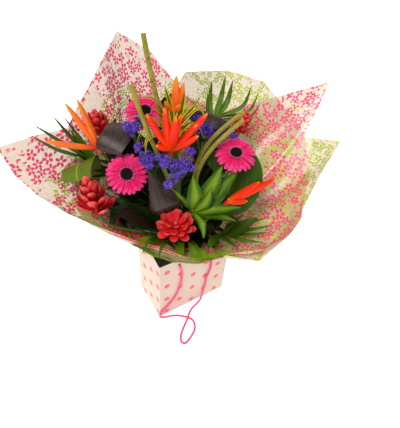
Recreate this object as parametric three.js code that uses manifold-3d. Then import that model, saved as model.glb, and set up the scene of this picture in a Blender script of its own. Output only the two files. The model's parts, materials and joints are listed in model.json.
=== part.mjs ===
// A mixed flower bouquet in its printed film wrapper, standing in a gift bag.
// Millimetres, +Z up. The origin is the centre of the bag's base, the bag's wide front
// face looks along -Y, and every stem passes the tie inside the bag's mouth.

import * as THREE from 'three';
import { mergeVertices } from 'three/addons/utils/BufferGeometryUtils.js';
import Module from 'manifold-3d';

const wasm = await Module();
wasm.setup();

// ---------------------------------------------------------------- driving dimensions

const gap = 0.3; // clearance between pieces that touch on the real bouquet
const up = new THREE.Vector3(0, 0, 1);

const bag = { width: 180, depth: 105, height: 180, card: 0.8, gusset: 4, foldHeight: 62 };
const grip = { hole: 3.2, spread: 42, height: 165, cord: 4.5, knot: 4.4 };
const pack = { width: 150, depth: 86, height: 84, corner: 24, bevel: 8, floor: 10, bore: 3.35 };
const tie = { height: 158, width: 12, inner: 24.1, outer: 25.6 };
const stems = { spacing: 7, top: 172, foot: 10.4, sides: 5 };
const film = { thick: 0.7, neck: [26.4, 159], mouth: [45, 186], between: 1.8 };

const colours = {
  card: [0xe9ddcb, 0.6], cord: [0xf24d8b, 0.7], water: [0xdfe8e4, 0.2], raffia: [0xc9b37e, 0.8],
  pinkFilm: [0xeadccb, 0.15], limeFilm: [0xe6dfc8, 0.15],
  gerbera: [0xff2f86, 0.55], eye: [0x3a0f24, 0.7], ginger: [0xd92f38, 0.4],
  heliconia: [0xff4a18, 0.35], statice: [0x5a35c4, 0.7], green: [0x4c7a2a, 0.6],
  croton: [0xb9c433, 0.45], cane: [0x9aa02c, 0.5], cordyline: [0x3b2d2a, 0.4],
  aspidistra: [0x2f5f22, 0.35], dracaena: [0x5f9a22, 0.4], palm: [0x2c6a2a, 0.5],
};

// ---------------------------------------------------------------- small tools

const V = (x, y, z) => new THREE.Vector3(x, y, z);
const rad = (degrees) => (degrees * Math.PI) / 180;
const lerp = (a, b, t) => a + (b - a) * t;

function through(...points) {
  return new THREE.CatmullRomCurve3(points.map((p) => V(...p)), false, 'centripetal');
}

function valueAt(table, t) { // straight lines between [t, value] pairs
  const next = Math.max(1, table.findIndex(([key]) => key >= t));
  const [t0, v0] = table[next - 1];
  const [t1, v1] = table[next];
  return lerp(v0, v1, THREE.MathUtils.clamp((t - t0) / (t1 - t0), 0, 1));
}

function geometryOf(points, faces) {
  const geometry = new THREE.BufferGeometry();
  geometry.setAttribute('position',
    new THREE.Float32BufferAttribute(points.flatMap((p) => [p.x, p.y, p.z]), 3));
  geometry.setIndex(faces.flat());
  return geometry;
}

function solidOf(geometry) {
  let bare = geometry.clone();
  bare.deleteAttribute('normal');
  bare.deleteAttribute('uv');
  bare = mergeVertices(bare, 1e-4);
  return new wasm.Manifold(new wasm.Mesh({
    numProp: 3,
    vertProperties: Float32Array.from(bare.attributes.position.array),
    triVerts: Uint32Array.from(bare.index.array),
  }));
}

function geometryFrom(solid) {
  const mesh = solid.getMesh();
  const geometry = new THREE.BufferGeometry();
  const places = new Float32Array((mesh.vertProperties.length / mesh.numProp) * 3);
  for (let i = 0; i * mesh.numProp < mesh.vertProperties.length; i += 1) {
    places.set(mesh.vertProperties.slice(i * mesh.numProp, i * mesh.numProp + 3), i * 3);
  }
  geometry.setAttribute('position', new THREE.BufferAttribute(places, 3));
  geometry.setIndex(Array.from(mesh.triVerts));
  return geometry;
}

function fuse(pieces) { // one body, with any pocket closed in between the pieces filled up
  const whole = pieces.map(solidOf).reduce((body, piece) => body.add(piece));
  const shells = whole.decompose().filter((shell) => shell.volume() > 0);
  shells.sort((a, b) => b.volume() - a.volume());
  if (shells.length > 1) throw new Error(`${shells.length} pieces stay apart`);
  return geometryFrom(shells[0]);
}

function cut(body, tools) {
  return geometryFrom(tools.map(solidOf).reduce((rest, tool) => rest.subtract(tool), solidOf(body)));
}

// Stations along a curve, with a face direction that turns as little as it can.
function stations(curve, steps, face, span = [0, 1]) {
  const list = [];
  let normal = face.clone();
  for (let i = 0; i <= steps; i += 1) {
    const t = i / steps;
    const u = lerp(span[0], span[1], t);
    const tangent = curve.getTangentAt(u).normalize();
    normal = normal.clone().addScaledVector(tangent, -normal.dot(tangent)).normalize();
    list.push({ t, at: curve.getPointAt(u), tangent, normal, side: tangent.clone().cross(normal) });
  }
  return list;
}

// A solid skinned over rings of equally many points, closed by a fan at each end.
function loft(rings) {
  const count = rings[0].length;
  const points = rings.flat();
  const faces = [];
  for (let i = 0; i + 1 < rings.length; i += 1) {
    for (let k = 0; k < count; k += 1) {
      const a = i * count + k;
      const b = i * count + ((k + 1) % count);
      faces.push([a, b, b + count], [a, b + count, a + count]);
    }
  }
  for (const [start, flip] of [[0, true], [(rings.length - 1) * count, false]]) {
    for (let k = 1; k + 1 < count; k += 1) {
      faces.push(flip ? [start, start + k + 1, start + k] : [start, start + k, start + k + 1]);
    }
  }
  return geometryOf(points, faces);
}

// A tube with a round or flattened section. radius(t) is a number or [wide, thin].
function tube(curve, radius, { sides = stems.sides, steps = 6, face = V(1, 0, 0), span } = {}) {
  return loft(stations(curve, steps, face, span).map(({ t, at, normal, side }) => {
    const [wide, thin] = [radius(t)].flat().length > 1 ? radius(t) : [radius(t), radius(t)];
    return Array.from({ length: sides }, (_, k) => {
      const angle = (2 * Math.PI * k) / sides;
      return at.clone().addScaledVector(side, Math.cos(angle) * wide)
        .addScaledVector(normal, -Math.sin(angle) * thin);
    });
  }));
}

// A thin leaf or petal: width(t) across, and curl(t), the angle its section bends through,
// away from the face direction where it is positive.
function blade(curve, width, {
  face = up, curl = () => 0, across = 3, steps = 4, thick = 0.8, span, wave = () => 0,
} = {}) {
  const top = [];
  const bottom = [];
  for (const { t, at, normal, side } of stations(curve, steps, face, span)) {
    const bend = curl(t) || 1e-4;
    const radius = width(t) / bend;
    for (let k = 0; k < across; k += 1) {
      const u = (2 * k) / (across - 1) - 1;
      const angle = (u * bend) / 2;
      const out = normal.clone().multiplyScalar(Math.cos(angle))
        .addScaledVector(side, Math.sin(angle));
      const middle = at.clone().addScaledVector(side, radius * Math.sin(angle))
        .addScaledVector(normal, radius * (Math.cos(angle) - 1) + wave(t, u));
      top.push(middle.clone().addScaledVector(out, thick / 2));
      bottom.push(middle.clone().addScaledVector(out, -thick / 2));
    }
  }
  const faces = [];
  const low = top.length;
  const quad = (a, b, c, d) => faces.push([a, b, c], [a, c, d]);
  for (let i = 0; i < steps; i += 1) {
    for (let k = 0; k + 1 < across; k += 1) {
      const a = i * across + k;
      const b = a + across;
      faces.push([a, a + 1, b + 1], [a, b + 1, b]);
      faces.push([low + a, low + b + 1, low + a + 1], [low + a, low + b, low + b + 1]);
    }
    const left = i * across;
    const right = left + across - 1;
    quad(low + right, low + right + across, right + across, right);
    quad(low + left, left, left + across, low + left + across);
  }
  for (let k = 0; k + 1 < across; k += 1) {
    const end = steps * across + k;
    quad(low + k, low + k + 1, k + 1, k);
    quad(low + end, end, end + 1, low + end + 1);
  }
  return geometryOf(top.concat(bottom), faces);
}

const bouquet = new THREE.Group();

function add(name, geometry, [colour, roughness], frame) {
  const material = new THREE.MeshStandardMaterial({ color: colour, roughness, metalness: 0 });
  const mesh = new THREE.Mesh(geometry, material);
  mesh.name = name;
  if (frame) {
    mesh.position.copy(frame.at);
    mesh.quaternion.setFromUnitVectors(up, frame.axis);
  }
  bouquet.add(mesh);
  return mesh;
}

// ---------------------------------------------------------------- stems

// The stems' places at the tie: rings of a hexagonal pattern, six places to a ring's step.
function placeAtTie([ring, degrees]) {
  const reach = ring * stems.spacing;
  return V(reach * Math.cos(rad(degrees)), reach * Math.sin(rad(degrees)), 0);
}

// A stem stands upright through the tie, then bends over to end at "at", along "axis".
function stemCurve(slot, at, axis, lean = 0.45, lift = 0.3) {
  const foot = placeAtTie(slot);
  const start = foot.clone().setZ(stems.top);
  const reach = at.distanceTo(start);
  const rise = foot.clone().multiplyScalar(0.012).add(up).normalize();
  return new THREE.CubicBezierCurve3(start,
    start.clone().addScaledVector(rise, reach * lift),
    at.clone().addScaledVector(axis, -reach * lean), at.clone());
}

function stem(slot, at, axis, radius = 2.1, { lean, lift, steps = 5, neck = radius } = {}) {
  const curve = stemCurve(slot, at, axis, lean, lift);
  const foot = placeAtTie(slot).setZ(stems.foot);
  const upright = new THREE.LineCurve3(foot, curve.v0.clone());
  const rings = stations(upright, 1, V(1, 0, 0)).slice(0, 1)
    .concat(stations(curve, steps, V(1, 0, 0)));
  return loft(rings.map(({ at: centre, normal, side }, i) => {
    const size = i < 2 ? radius : lerp(radius, neck, (i - 1) / steps);
    return Array.from({ length: stems.sides }, (_, k) => {
      const angle = (2 * Math.PI * k) / stems.sides;
      return centre.clone().addScaledVector(side, Math.cos(angle) * size)
        .addScaledVector(normal, -Math.sin(angle) * size);
    });
  }));
}

// A point of the faceted stem itself, a part of the way along its bent length.
function onStem(curve, part, steps = 5) {
  const before = Math.min(Math.floor(part * steps), steps - 1);
  return curve.getPointAt(before / steps)
    .lerp(curve.getPointAt((before + 1) / steps), part * steps - before);
}

const direction = (x, y, z) => V(x, y, z).normalize();

// ---------------------------------------------------------------- gerberas

const gerberaSize = { reach: 39, hub: 7, depth: 4.6, petal: 0.8, petals: [13, 11] };

const gerberas = [
  { name: 'gerbera_left', at: V(-105, 45, 357), axis: direction(-0.3, -0.72, 0.62), slot: [2, 180] },
  { name: 'gerbera_right', at: V(82, -33, 393), axis: direction(-0.2, -0.3, 0.93), slot: [2, 330] },
  { name: 'gerbera_back', at: V(-31, 109, 437), axis: direction(-0.2, -0.42, 0.88), slot: [2, 90] },
];

// One layer of petals is a plate with a petal for every turn: its points are [radius, angle in
// half petals, height], going round one petal from its left root to its right root.
function petalLayer(count, reach, lift, turn) {
  const half = Math.PI / count;
  const outline = [[10.5, -1, 0], [lerp(11, reach, 0.5), -0.74, 1.2], [reach - 3, -0.62, -0.4],
    [reach, -0.28, -1.4], [reach, 0.28, -1.4], [reach - 3, 0.62, -0.4],
    [lerp(11, reach, 0.5), 0.74, 1.2]];
  const size = outline.length;
  const points = [0, -gerberaSize.petal].flatMap((drop) => [V(0, 0, lift + drop)].concat(
    Array.from({ length: count }, (_, i) => outline.map(([r, side, z]) => {
      const angle = half * (2 * i + side + turn);
      return V(r * Math.cos(angle), r * Math.sin(angle), lift + z + drop);
    })).flat()));
  const low = count * size + 1;
  const faces = [];
  for (let i = 0; i < count; i += 1) {
    const at = (k) => 1 + ((i * size + k) % (count * size));
    for (const [a, b, c] of [[0, 1, 6], [0, 6, 7], [1, 2, 5], [1, 5, 6], [2, 3, 4], [2, 4, 5]]) {
      faces.push([at(a), at(b), at(c)], [low + at(a), low + at(c), low + at(b)]);
    }
    faces.push([0, at(0), at(7)], [low, low + at(7), low + at(0)]);
    for (let k = 0; k < size; k += 1) {
      faces.push([at(k), low + at(k), low + at(k + 1)], [at(k), low + at(k + 1), at(k + 1)]);
    }
  }
  return geometryOf(points, faces);
}

function gerberaRays() {
  const { reach, hub, depth, petals } = gerberaSize;
  const disc = new THREE.CylinderGeometry(hub, hub, depth, 6).rotateX(Math.PI / 2)
    .translate(0, 0, -depth * 0.14);
  return fuse([disc, petalLayer(petals[0], reach, 0.2, 0),
    petalLayer(petals[1], reach * 0.93, 2.4, 1.1)]);
}

function gerberaEye() {
  const profile = [[0, 2.8], [9.6, 2.8], [13.8, 5.4], [12, 7.2], [10, 6.2], [8.4, 7.8], [0, 7.4]];
  return new THREE.LatheGeometry(profile.map(([r, z]) => new THREE.Vector2(r, z)), 8)
    .rotateX(Math.PI / 2);
}

const rays = gerberaRays();
const eye = gerberaEye();
for (const flower of gerberas) {
  const under = gerberaSize.depth * 0.64 + gap;
  const neck = flower.at.clone().addScaledVector(flower.axis, -under);
  add(`${flower.name}_rays`, rays, colours.gerbera, flower);
  add(`${flower.name}_eye`, eye, colours.eye, flower);
  add(`${flower.name}_stem`, stem(flower.slot, neck, flower.axis, 2.3, { lean: 0.32, neck: 3 }),
    colours.green);
}

// ---------------------------------------------------------------- red ginger heads

// opening is how far the outermost bracts lean away from the head's axis, in degrees.
const gingers = [
  { name: 'ginger_front', at: V(-53, -50, 276), axis: direction(-0.32, -0.5, 0.8), slot: [3, 240],
    length: 22, reach: 35, opening: [92, 22] },
  { name: 'ginger_left', at: V(-168, 42, 287), axis: direction(0, 0.28, 0.96), slot: [3, 180],
    length: 52, reach: 35, opening: [84, 14] },
  { name: 'ginger_back_left', at: V(-111, 146, 385), axis: direction(-0.15, 0.15, 0.97),
    slot: [3, 100], length: 36, reach: 30, opening: [76, 14] },
  { name: 'ginger_right', at: V(157, 60, 372), axis: direction(0.35, 0.02, 0.93), slot: [3, 20],
    length: 32, reach: 28, opening: [76, 16] },
];

function gingerHead({ length, reach, opening }) {
  const count = 10;
  const golden = rad(137.5);
  const core = tube(through([0, 0, 0], [0, 0, length + 6]), (t) => lerp(6, 2.5, t),
    { sides: 6, steps: 1 });
  const shape = [[0, 8], [0.6, 31], [1, 13]];
  const bracts = Array.from({ length: count }, (_, i) => {
    const t = i / (count - 1);
    const lean = rad(lerp(opening[0], opening[1], t));
    const size = lerp(reach, reach * 0.62, t);
    const foot = lerp(4, length, t);
    const line = through([2.5, 0, foot],
      [2.5 + size * 0.5 * Math.sin(lean), 0, foot + size * 0.5 * Math.cos(lean) - 1.5],
      [2.5 + size * Math.sin(lean * 0.9), 0, foot + size * Math.cos(lean * 0.9)]);
    const face = V(-Math.cos(lean), 0, Math.sin(lean));
    return blade(line, (u) => valueAt(shape, u) * lerp(1, 0.7, t),
      { face, curl: (u) => -lerp(0.9, 1.6, u), across: 3, steps: 2, thick: 1 }).rotateZ(i * golden);
  });
  return fuse([core, ...bracts]);
}

for (const head of gingers) {
  const neck = head.at.clone().addScaledVector(head.axis, -gap);
  add(`${head.name}_bracts`, gingerHead(head), colours.ginger, head);
  add(`${head.name}_stem`, stem(head.slot, neck, head.axis, 2.4, { lean: 0.3 }), colours.green);
}

// ---------------------------------------------------------------- heliconias

// Each bract is a long boat from the flower's joint to its tip: [tip, half width].
const heliconias = [
  { name: 'heliconia_front', at: V(-32, 12, 398), axis: direction(-0.05, -0.1, 1), slot: [0, 0],
    bracts: [[[-50, 2, 495], 8], [[-38, -14, 484], 7], [[-24, -6, 482], 7], [[-70, 26, 478], 7],
      [[30, -6, 463], 8.5], [[6, -14, 434], 7.5], [[-60, 14, 423], 6.5], [[-36, -18, 398], 6]] },
  { name: 'heliconia_back', at: V(-2, 56, 440), axis: direction(0, 0.1, 1), slot: [2, 60],
    bracts: [[[-7, 42, 525], 7], [[8, 42, 512], 6.5], [[-30, 38, 487], 6], [[-4, 34, 478], 6]] },
  { name: 'heliconia_left', at: V(-128, 108, 375), axis: direction(-0.4, 0.3, 0.8), slot: [3, 120],
    bracts: [[[-155, 114, 481], 6.5], [[-171, 133, 469], 6.5], [[-219, 122, 414], 6.5]] },
  { name: 'heliconia_right', at: V(38, -72, 316), axis: direction(0.5, -0.25, 0.8),
    slot: [2, 300], bracts: [[[156, -80, 345], 8.5], [[78, -90, 318], 6.5]] },
];

function heliconiaBracts({ at, axis, bracts }) {
  const joint = tube(new THREE.LineCurve3(at, at.clone().addScaledVector(axis, 16)),
    (t) => lerp(4.4, 3.4, t), { sides: 6, steps: 1 });
  const shape = [[0, 0.5], [0.33, 1], [0.67, 0.82], [1, 0.1]];
  const boats = bracts.map(([tip, half], i) => {
    const foot = at.clone().addScaledVector(axis, 4 + (8 * i) / bracts.length);
    const end = V(...tip);
    const middle = foot.clone().lerp(end, 0.5).addScaledVector(axis, -foot.distanceTo(end) * 0.05);
    const line = new THREE.QuadraticBezierCurve3(foot, middle, end);
    return tube(line, (t) => [valueAt(shape, t) * half, valueAt(shape, t) * half * 0.62],
      { sides: 6, steps: 3, face: axis });
  });
  return fuse([joint, ...boats]);
}

for (const flower of heliconias) {
  const neck = flower.at.clone().addScaledVector(flower.axis, -gap);
  add(`${flower.name}_bracts`, heliconiaBracts(flower), colours.heliconia);
  add(`${flower.name}_stem`, stem(flower.slot, neck, flower.axis, 2.3, { lean: 0.3 }),
    colours.green);
}

// ---------------------------------------------------------------- statice

// A spray's florets stand on short arms that meet at its middle. Each arm is its tip.
const statices = [
  { name: 'statice_left', at: V(-66, 24, 392), axis: direction(-0.25, -0.3, 0.9), slot: [2, 210],
    arms: [[-82, 46, 403], [-50, 8, 400], [-80, 14, 390]] },
  { name: 'statice_middle', at: V(-34, -24, 386), axis: direction(-0.2, -0.35, 0.9),
    slot: [1, 240], arms: [[-54, -10, 398], [-58, -34, 374], [-2, -12, 404], [-16, -30, 388]] },
  { name: 'statice_back_left', at: V(-74, 76, 424), axis: direction(-0.2, -0.1, 0.97),
    slot: [2, 120], arms: [[-83, 74, 424], [-63, 72, 439]] },
  { name: 'statice_right', at: V(44, 22, 410), axis: direction(0.1, 0, 0.95), slot: [2, 0],
    arms: [[30, 44, 452], [62, 30, 414]] },
];

// An arm is a spike of florets: every other corner of its rings stands out as one floret.
function staticeArm(line, axis) {
  const rows = Math.max(4, Math.round(line.getLength() / 5));
  return loft(stations(line, rows, axis).map(({ at, normal, side }, row) => (
    Array.from({ length: 6 }, (_, k) => {
      const angle = (2 * Math.PI * (k + row * 0.13)) / 6;
      const end = row === 0 || row === rows ? 0.55 : 1;
      const reach = ((k + row) % 2 ? 9.6 : 4.4) * end;
      return at.clone().addScaledVector(side, Math.cos(angle) * reach)
        .addScaledVector(normal, -Math.sin(angle) * reach);
    }))));
}

const calyx = 11; // how far a spray's neck stands below the middle of its florets

function staticeFlorets({ at, axis, arms }) {
  const neck = new THREE.LineCurve3(at.clone().addScaledVector(axis, -calyx), at.clone());
  return fuse([tube(neck, (t) => lerp(2, 3.4, t), { steps: 1 }), ...arms.map((tip) => {
    const end = V(...tip);
    const middle = at.clone().lerp(end, 0.5).addScaledVector(axis, 4);
    return staticeArm(new THREE.QuadraticBezierCurve3(at.clone(), middle, end), axis);
  })]);
}

function staticeGreen({ at, axis, arms, slot }) {
  const below = at.clone().addScaledVector(axis, -calyx - gap);
  const main = stem(slot, below, axis, 2.2, { lean: 0.35 });
  const fork = onStem(stemCurve(slot, below, axis, 0.35), 0.85);
  const twigs = arms.map((tip) => {
    const end = at.clone().lerp(V(...tip), 0.8).addScaledVector(axis, -calyx - 3.5);
    return tube(new THREE.QuadraticBezierCurve3(fork, fork.clone().lerp(end, 0.5), end), () => 1.1,
      { sides: 4, steps: 1 });
  });
  return fuse([main, ...twigs]);
}

for (const spray of statices) {
  add(`${spray.name}_florets`, staticeFlorets(spray), colours.statice);
  add(`${spray.name}_green`, staticeGreen(spray), colours.green);
}

// ---------------------------------------------------------------- leaves on stalks

// A leaf's stalk runs from the tie to the blade's first point, and its blade goes on from there.
function stalkedLeaf({ slot, points, face, width, curl, across = 4, steps = 7, thick = 0.9,
  stalk = 2 }) {
  const line = through(...points);
  const start = line.getPointAt(0);
  const along = line.getTangentAt(0);
  const curve = stem(slot, start.clone().addScaledVector(along, 3), along, stalk,
    { lean: 0.25, neck: 1.6 });
  const leaf = blade(line, (t) => valueAt(width, t), {
    face: V(...face), curl: (t) => valueAt(curl, t), across, steps, thick,
  });
  return fuse([curve, leaf]);
}

const loopWidth = [[0, 8], [0.22, 44], [0.55, 58], [0.85, 54], [1, 42]];
const flat = [[0, -0.6], [0.4, 0.2], [1, 0.2]];

const leaves = [
  { name: 'cordyline_back_left', colour: colours.cordyline, slot: [2, 150], face: [0.95, 0.3, 0],
    points: [[-50, 98, 346], [-60, 112, 394], [-78, 112, 420], [-106, 86, 414],
      [-124, 78, 398], [-125, 77, 390]],
    width: [[0, 8], [0.2, 32], [0.45, 44], [0.7, 58], [1, 54]], curl: flat },
  { name: 'cordyline_back_right', colour: colours.cordyline, slot: [2, 30], face: [0.6, 0.75, 0],
    points: [[58, 44, 342], [80, 62, 396], [86, 56, 430], [74, 38, 438], [62, 26, 424]],
    width: loopWidth, curl: flat },
  { name: 'cordyline_front', colour: colours.cordyline, slot: [2, 240], face: [-0.5, -0.7, 0.4],
    points: [[-52, -30, 296], [-66, -34, 318], [-74, -18, 350], [-78, 12, 380]],
    width: [[0, 64], [0.3, 54], [0.65, 34], [1, 3]],
    curl: [[0, 2], [0.3, 2.2], [1, 2.6]], steps: 5 },
  { name: 'cordyline_low', colour: colours.cordyline, slot: [3, 200], face: [0, 0, 1],
    points: [[-60, -4, 244], [-88, 4, 266], [-116, 18, 282], [-138, 34, 288]],
    width: [[0, 8], [0.4, 50], [0.75, 42], [1, 4]], curl: [[0, -0.6], [1, -0.2]], steps: 5 },
  { name: 'aspidistra_left', colour: colours.aspidistra, slot: [3, 160],
    face: [-0.475, -0.81, 0.2],
    points: [[-146, 104, 304], [-156, 122, 332], [-164, 126, 350], [-174, 112, 356],
      [-182, 100, 348], [-184, 91, 337]],
    width: [[0, 8], [0.22, 52], [0.5, 74], [0.85, 76], [1, 66]], curl: flat },
  { name: 'aspidistra_right', colour: colours.aspidistra, slot: [3, 340], face: [-0.4, -0.6, 0.67],
    points: [[56, -46, 258], [84, -60, 296], [104, -54, 338], [114, -34, 370], [126, -10, 390]],
    width: [[0, 10], [0.3, 58], [0.6, 64], [0.85, 44], [1, 8]],
    curl: [[0, 0.4], [0.5, 1.2], [1, 1]], steps: 6 },
  { name: 'aspidistra_back', colour: colours.aspidistra, slot: [3, 60], face: [0, -0.5, 0.6],
    points: [[26, 100, 340], [26, 124, 400], [22, 124, 450], [14, 106, 464]],
    width: [[0, 8], [0.4, 44], [0.8, 34], [1, 8]], curl: flat, steps: 6 },
];

for (const leaf of leaves) add(leaf.name, stalkedLeaf(leaf), leaf.colour);

// ---------------------------------------------------------------- canes

const canes = [
  { name: 'cane_tall', slot: [1, 120], tip: [-47, 79, 583], axis: [-0.1, 0.17, 0.98],
    lean: 0.4, lift: 0.5 },
  { name: 'cane_left', slot: [1, 180], tip: [-85, 45, 518], axis: [-0.22, 0.08, 0.97],
    lean: 0.4, lift: 0.5 },
  { name: 'cane_right_upper', slot: [1, 0], tip: [112, -2, 458], axis: [0.8, -0.16, 0.56],
    lean: 0.46, lift: 0.66 },
  { name: 'cane_right_lower', slot: [1, 300], tip: [101, -18, 452], axis: [0.8, -0.12, 0.56],
    lean: 0.46, lift: 0.66 },
];

for (const { name, slot, tip, axis, lean, lift } of canes) {
  add(name, stem(slot, V(...tip), direction(...axis), 2.9, { lean, lift }),
    colours.cane);
}

// ---------------------------------------------------------------- sprigs, rosette and fronds

// Blades that start on a stem: each is its points after the start, its width and its face.
function leafySprig({ slot, top, axis, lean, radius = 2.1, blades, from = 0.2 }) {
  const head = V(...top);
  const main = stem(slot, head, direction(...axis), radius, { lean });
  const curve = stemCurve(slot, head, direction(...axis), lean);
  const parts = blades.map(({ on, to, width, face = [0, 0, 1], curl = -0.5, across = 3,
    steps = 3, full = 1 }) => {
    const foot = onStem(curve, Math.min(lerp(from, 1, on), 1 - 3 / curve.getLength()));
    foot.lerp(V(...to[0]), 1 / foot.distanceTo(V(...to[0])));
    const line = through([foot.x, foot.y, foot.z], ...to);
    const shape = [[0, 3], [0.34, width * full], [0.67, width * 0.86], [1, 1.2]];
    return blade(line, (t) => valueAt(shape, t), { face: V(...face), curl: () => curl, across, steps });
  });
  return fuse([main, ...parts]);
}

const croton = { slot: [1, 60], top: [-15, 34, 432], axis: [0.1, 0.2, 1], blades: [
  { on: 0.9, to: [[-36, 40, 446], [-62, 60, 456], [-80, 84, 449]], width: 8, across: 2 },
  { on: 0.95, to: [[-28, 36, 454], [-46, 58, 472]], width: 9, across: 2 },
  { on: 1, to: [[0, 36, 452], [26, 42, 472]], width: 8, across: 2 },
  { on: 0.97, to: [[16, 38, 452], [50, 50, 478]], width: 9, across: 2 },
  { on: 0.85, to: [[-36, 30, 438], [-56, 36, 426]], width: 8, across: 2 },
] };

const sprigs = [
  { name: 'dracaena_rosette', colour: colours.dracaena, slot: [2, 270], top: [-22, -58, 314],
    axis: [-0.1, -0.3, 0.9], lean: 0.4, blades: [
      { on: 1, to: [[-22, -60, 350], [-18, -44, 384]], width: 29, face: [-0.3, -0.7, 0.2] },
      { on: 1, to: [[10, -58, 350], [42, -48, 388]], width: 31, face: [-0.4, -0.6, 0.4] },
      { on: 1, to: [[20, -62, 340], [80, -54, 372]], width: 27, face: [-0.4, -0.4, 0.6] },
      { on: 0.98, to: [[16, -70, 334], [49, -68, 346]], width: 26, face: [-0.2, -0.6, 0.8] },
      { on: 0.97, to: [[6, -90, 318], [44, -108, 300]], width: 27, face: [0, -0.2, 1] },
      { on: 0.97, to: [[-22, -90, 308], [-27, -108, 287]], width: 16, face: [0, -0.4, 1] },
      { on: 0.98, to: [[-42, -48, 344], [-58, -36, 366]], width: 12, face: [0.3, -0.6, 0.4] },
      { on: 0.96, to: [[-6, -74, 342], [8, -68, 368]], width: 20, face: [-0.3, -0.8, 0.3] },
      { on: 0.94, to: [[8, -86, 326], [62, -96, 318]], width: 22, face: [-0.1, -0.3, 0.9] },
    ] },
  { name: 'palm_right', colour: colours.palm, slot: [3, 40], top: [112, 84, 408],
    axis: [0.5, 0.4, 0.75], lean: 0.4, from: 0.62, blades: [
      { on: 0.5, to: [[66, 84, 420], [65, 87, 458]], width: 9, across: 2, steps: 2 },
      { on: 0.62, to: [[92, 86, 430], [90, 88, 463]], width: 9, across: 2, steps: 2 },
      { on: 0.74, to: [[108, 104, 430], [120, 119, 472]], width: 10, across: 2, steps: 2 },
      { on: 0.86, to: [[128, 108, 436], [156, 122, 476]], width: 10, across: 2, steps: 2 },
      { on: 0.93, to: [[140, 104, 436], [168, 111, 470]], width: 11, across: 2, steps: 2 },
      { on: 1, to: [[160, 94, 430], [209, 96, 455]], width: 11, across: 2, steps: 2 },
      { on: 1, to: [[166, 90, 420], [220, 82, 445]], width: 10, across: 2, steps: 2 },
      { on: 0.95, to: [[164, 98, 408], [216, 66, 430]], width: 9, across: 2, steps: 2 },
    ] },
  { name: 'palm_left', colour: colours.palm, slot: [3, 140], top: [-150, 136, 352],
    axis: [-0.6, 0.5, 0.6], lean: 0.4, from: 0.6, blades: [
      { on: 1, to: [[-196, 156, 386], [-234, 163, 408]], width: 8, across: 2, steps: 2 },
      { on: 0.9, to: [[-186, 158, 392], [-221, 166, 418]], width: 9, across: 2, steps: 2 },
      { on: 0.75, to: [[-158, 162, 390], [-182, 181, 418]], width: 9, across: 2, steps: 2 },
      { on: 0.6, to: [[-140, 166, 384], [-152, 179, 414]], width: 8, across: 2, steps: 2 },
    ] },
  { name: 'palm_front', colour: colours.palm, slot: [3, 320], top: [56, -66, 226],
    axis: [0.7, -0.6, 0.3], lean: 0.3, from: 0.4, radius: 1.8, blades: [
      { on: 1, to: [[96, -84, 250], [136, -100, 262]], width: 9, across: 2, steps: 2 },
      { on: 1, to: [[104, -96, 240], [146, -115, 250]], width: 9, across: 2, steps: 2 },
      { on: 0.95, to: [[96, -100, 232], [126, -121, 244]], width: 9, across: 2, steps: 2 },
      { on: 0.9, to: [[78, -104, 228], [107, -134, 234]], width: 9, across: 2, steps: 2 },
      { on: 0.8, to: [[52, -92, 224], [55, -122, 230]], width: 8, across: 2, steps: 2 },
      { on: 0.7, to: [[26, -84, 222], [8, -104, 226]], width: 8, across: 2, steps: 2 },
    ] },
  { name: 'foliage_left', colour: colours.green, slot: [3, 220], top: [-62, -24, 226],
    axis: [-0.8, -0.3, 0.3], lean: 0.3, from: 0.4, radius: 1.8, blades: [
      { on: 0.7, to: [[-80, -30, 242], [-106, -42, 258], [-124, -50, 240]], width: 7, across: 2 },
      { on: 0.8, to: [[-70, -46, 244], [-88, -62, 254], [-104, -76, 240]], width: 7, across: 2 },
      { on: 1, to: [[-96, -24, 242], [-140, -8, 252]], width: 28, steps: 3 },
      { on: 0.9, to: [[-82, -34, 262], [-112, -30, 280]], width: 22, steps: 3 },
    ] },
  { name: 'foliage_right', colour: colours.green, slot: [3, 300], top: [40, -74, 236],
    axis: [0.5, -0.5, 0.5], lean: 0.3, from: 0.4, radius: 1.8, blades: [
      { on: 1, to: [[74, -88, 250], [114, -96, 270]], width: 34, steps: 3 },
      { on: 1, to: [[50, -86, 262], [76, -92, 292]], width: 32, steps: 3 },
      { on: 0.9, to: [[30, -96, 248], [24, -112, 262]], width: 22, steps: 3 },
      { on: 0.8, to: [[14, -84, 240], [-8, -98, 238]], width: 18, steps: 3 },
    ] },
  { name: 'foliage_middle', colour: colours.green, slot: [3, 0], top: [78, 4, 336],
    axis: [0.6, 0.1, 0.8], lean: 0.3, from: 0.5, radius: 1.8, blades: [
      { on: 1, to: [[102, 6, 360], [122, 26, 388]], width: 30, face: [-0.4, -0.5, 0.7] },
      { on: 0.9, to: [[74, 26, 352], [66, 34, 378]], width: 26, face: [-0.4, -0.6, 0.4] },
      { on: 0.9, to: [[58, -18, 346], [44, -22, 372]], width: 26, face: [-0.4, -0.6, 0.4] },
      { on: 0.6, to: [[92, -14, 312], [120, -16, 328]], width: 26, face: [-0.3, -0.5, 0.8] },
    ] },
];

for (const sprig of sprigs) add(sprig.name, leafySprig(sprig), sprig.colour);
add('croton_sprig', leafySprig({ ...croton, lean: 0.3 }), colours.croton);

// ---------------------------------------------------------------- tie, water pack

function hollowRing(inner, outer, low, high, sides) {
  const wall = [[inner, low], [outer, low], [outer, high], [inner, high], [inner, low]];
  return new THREE.LatheGeometry(wall.map(([r, z]) => new THREE.Vector2(r, z)), sides)
    .rotateX(Math.PI / 2);
}

add('tie', hollowRing(tie.inner, tie.outer, tie.height, tie.height + tie.width, 16),
  colours.raffia);

const slots = [...gerberas, ...gingers, ...heliconias, ...statices, ...leaves, ...canes, ...sprigs,
  croton].map(({ slot }) => slot);

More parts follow.
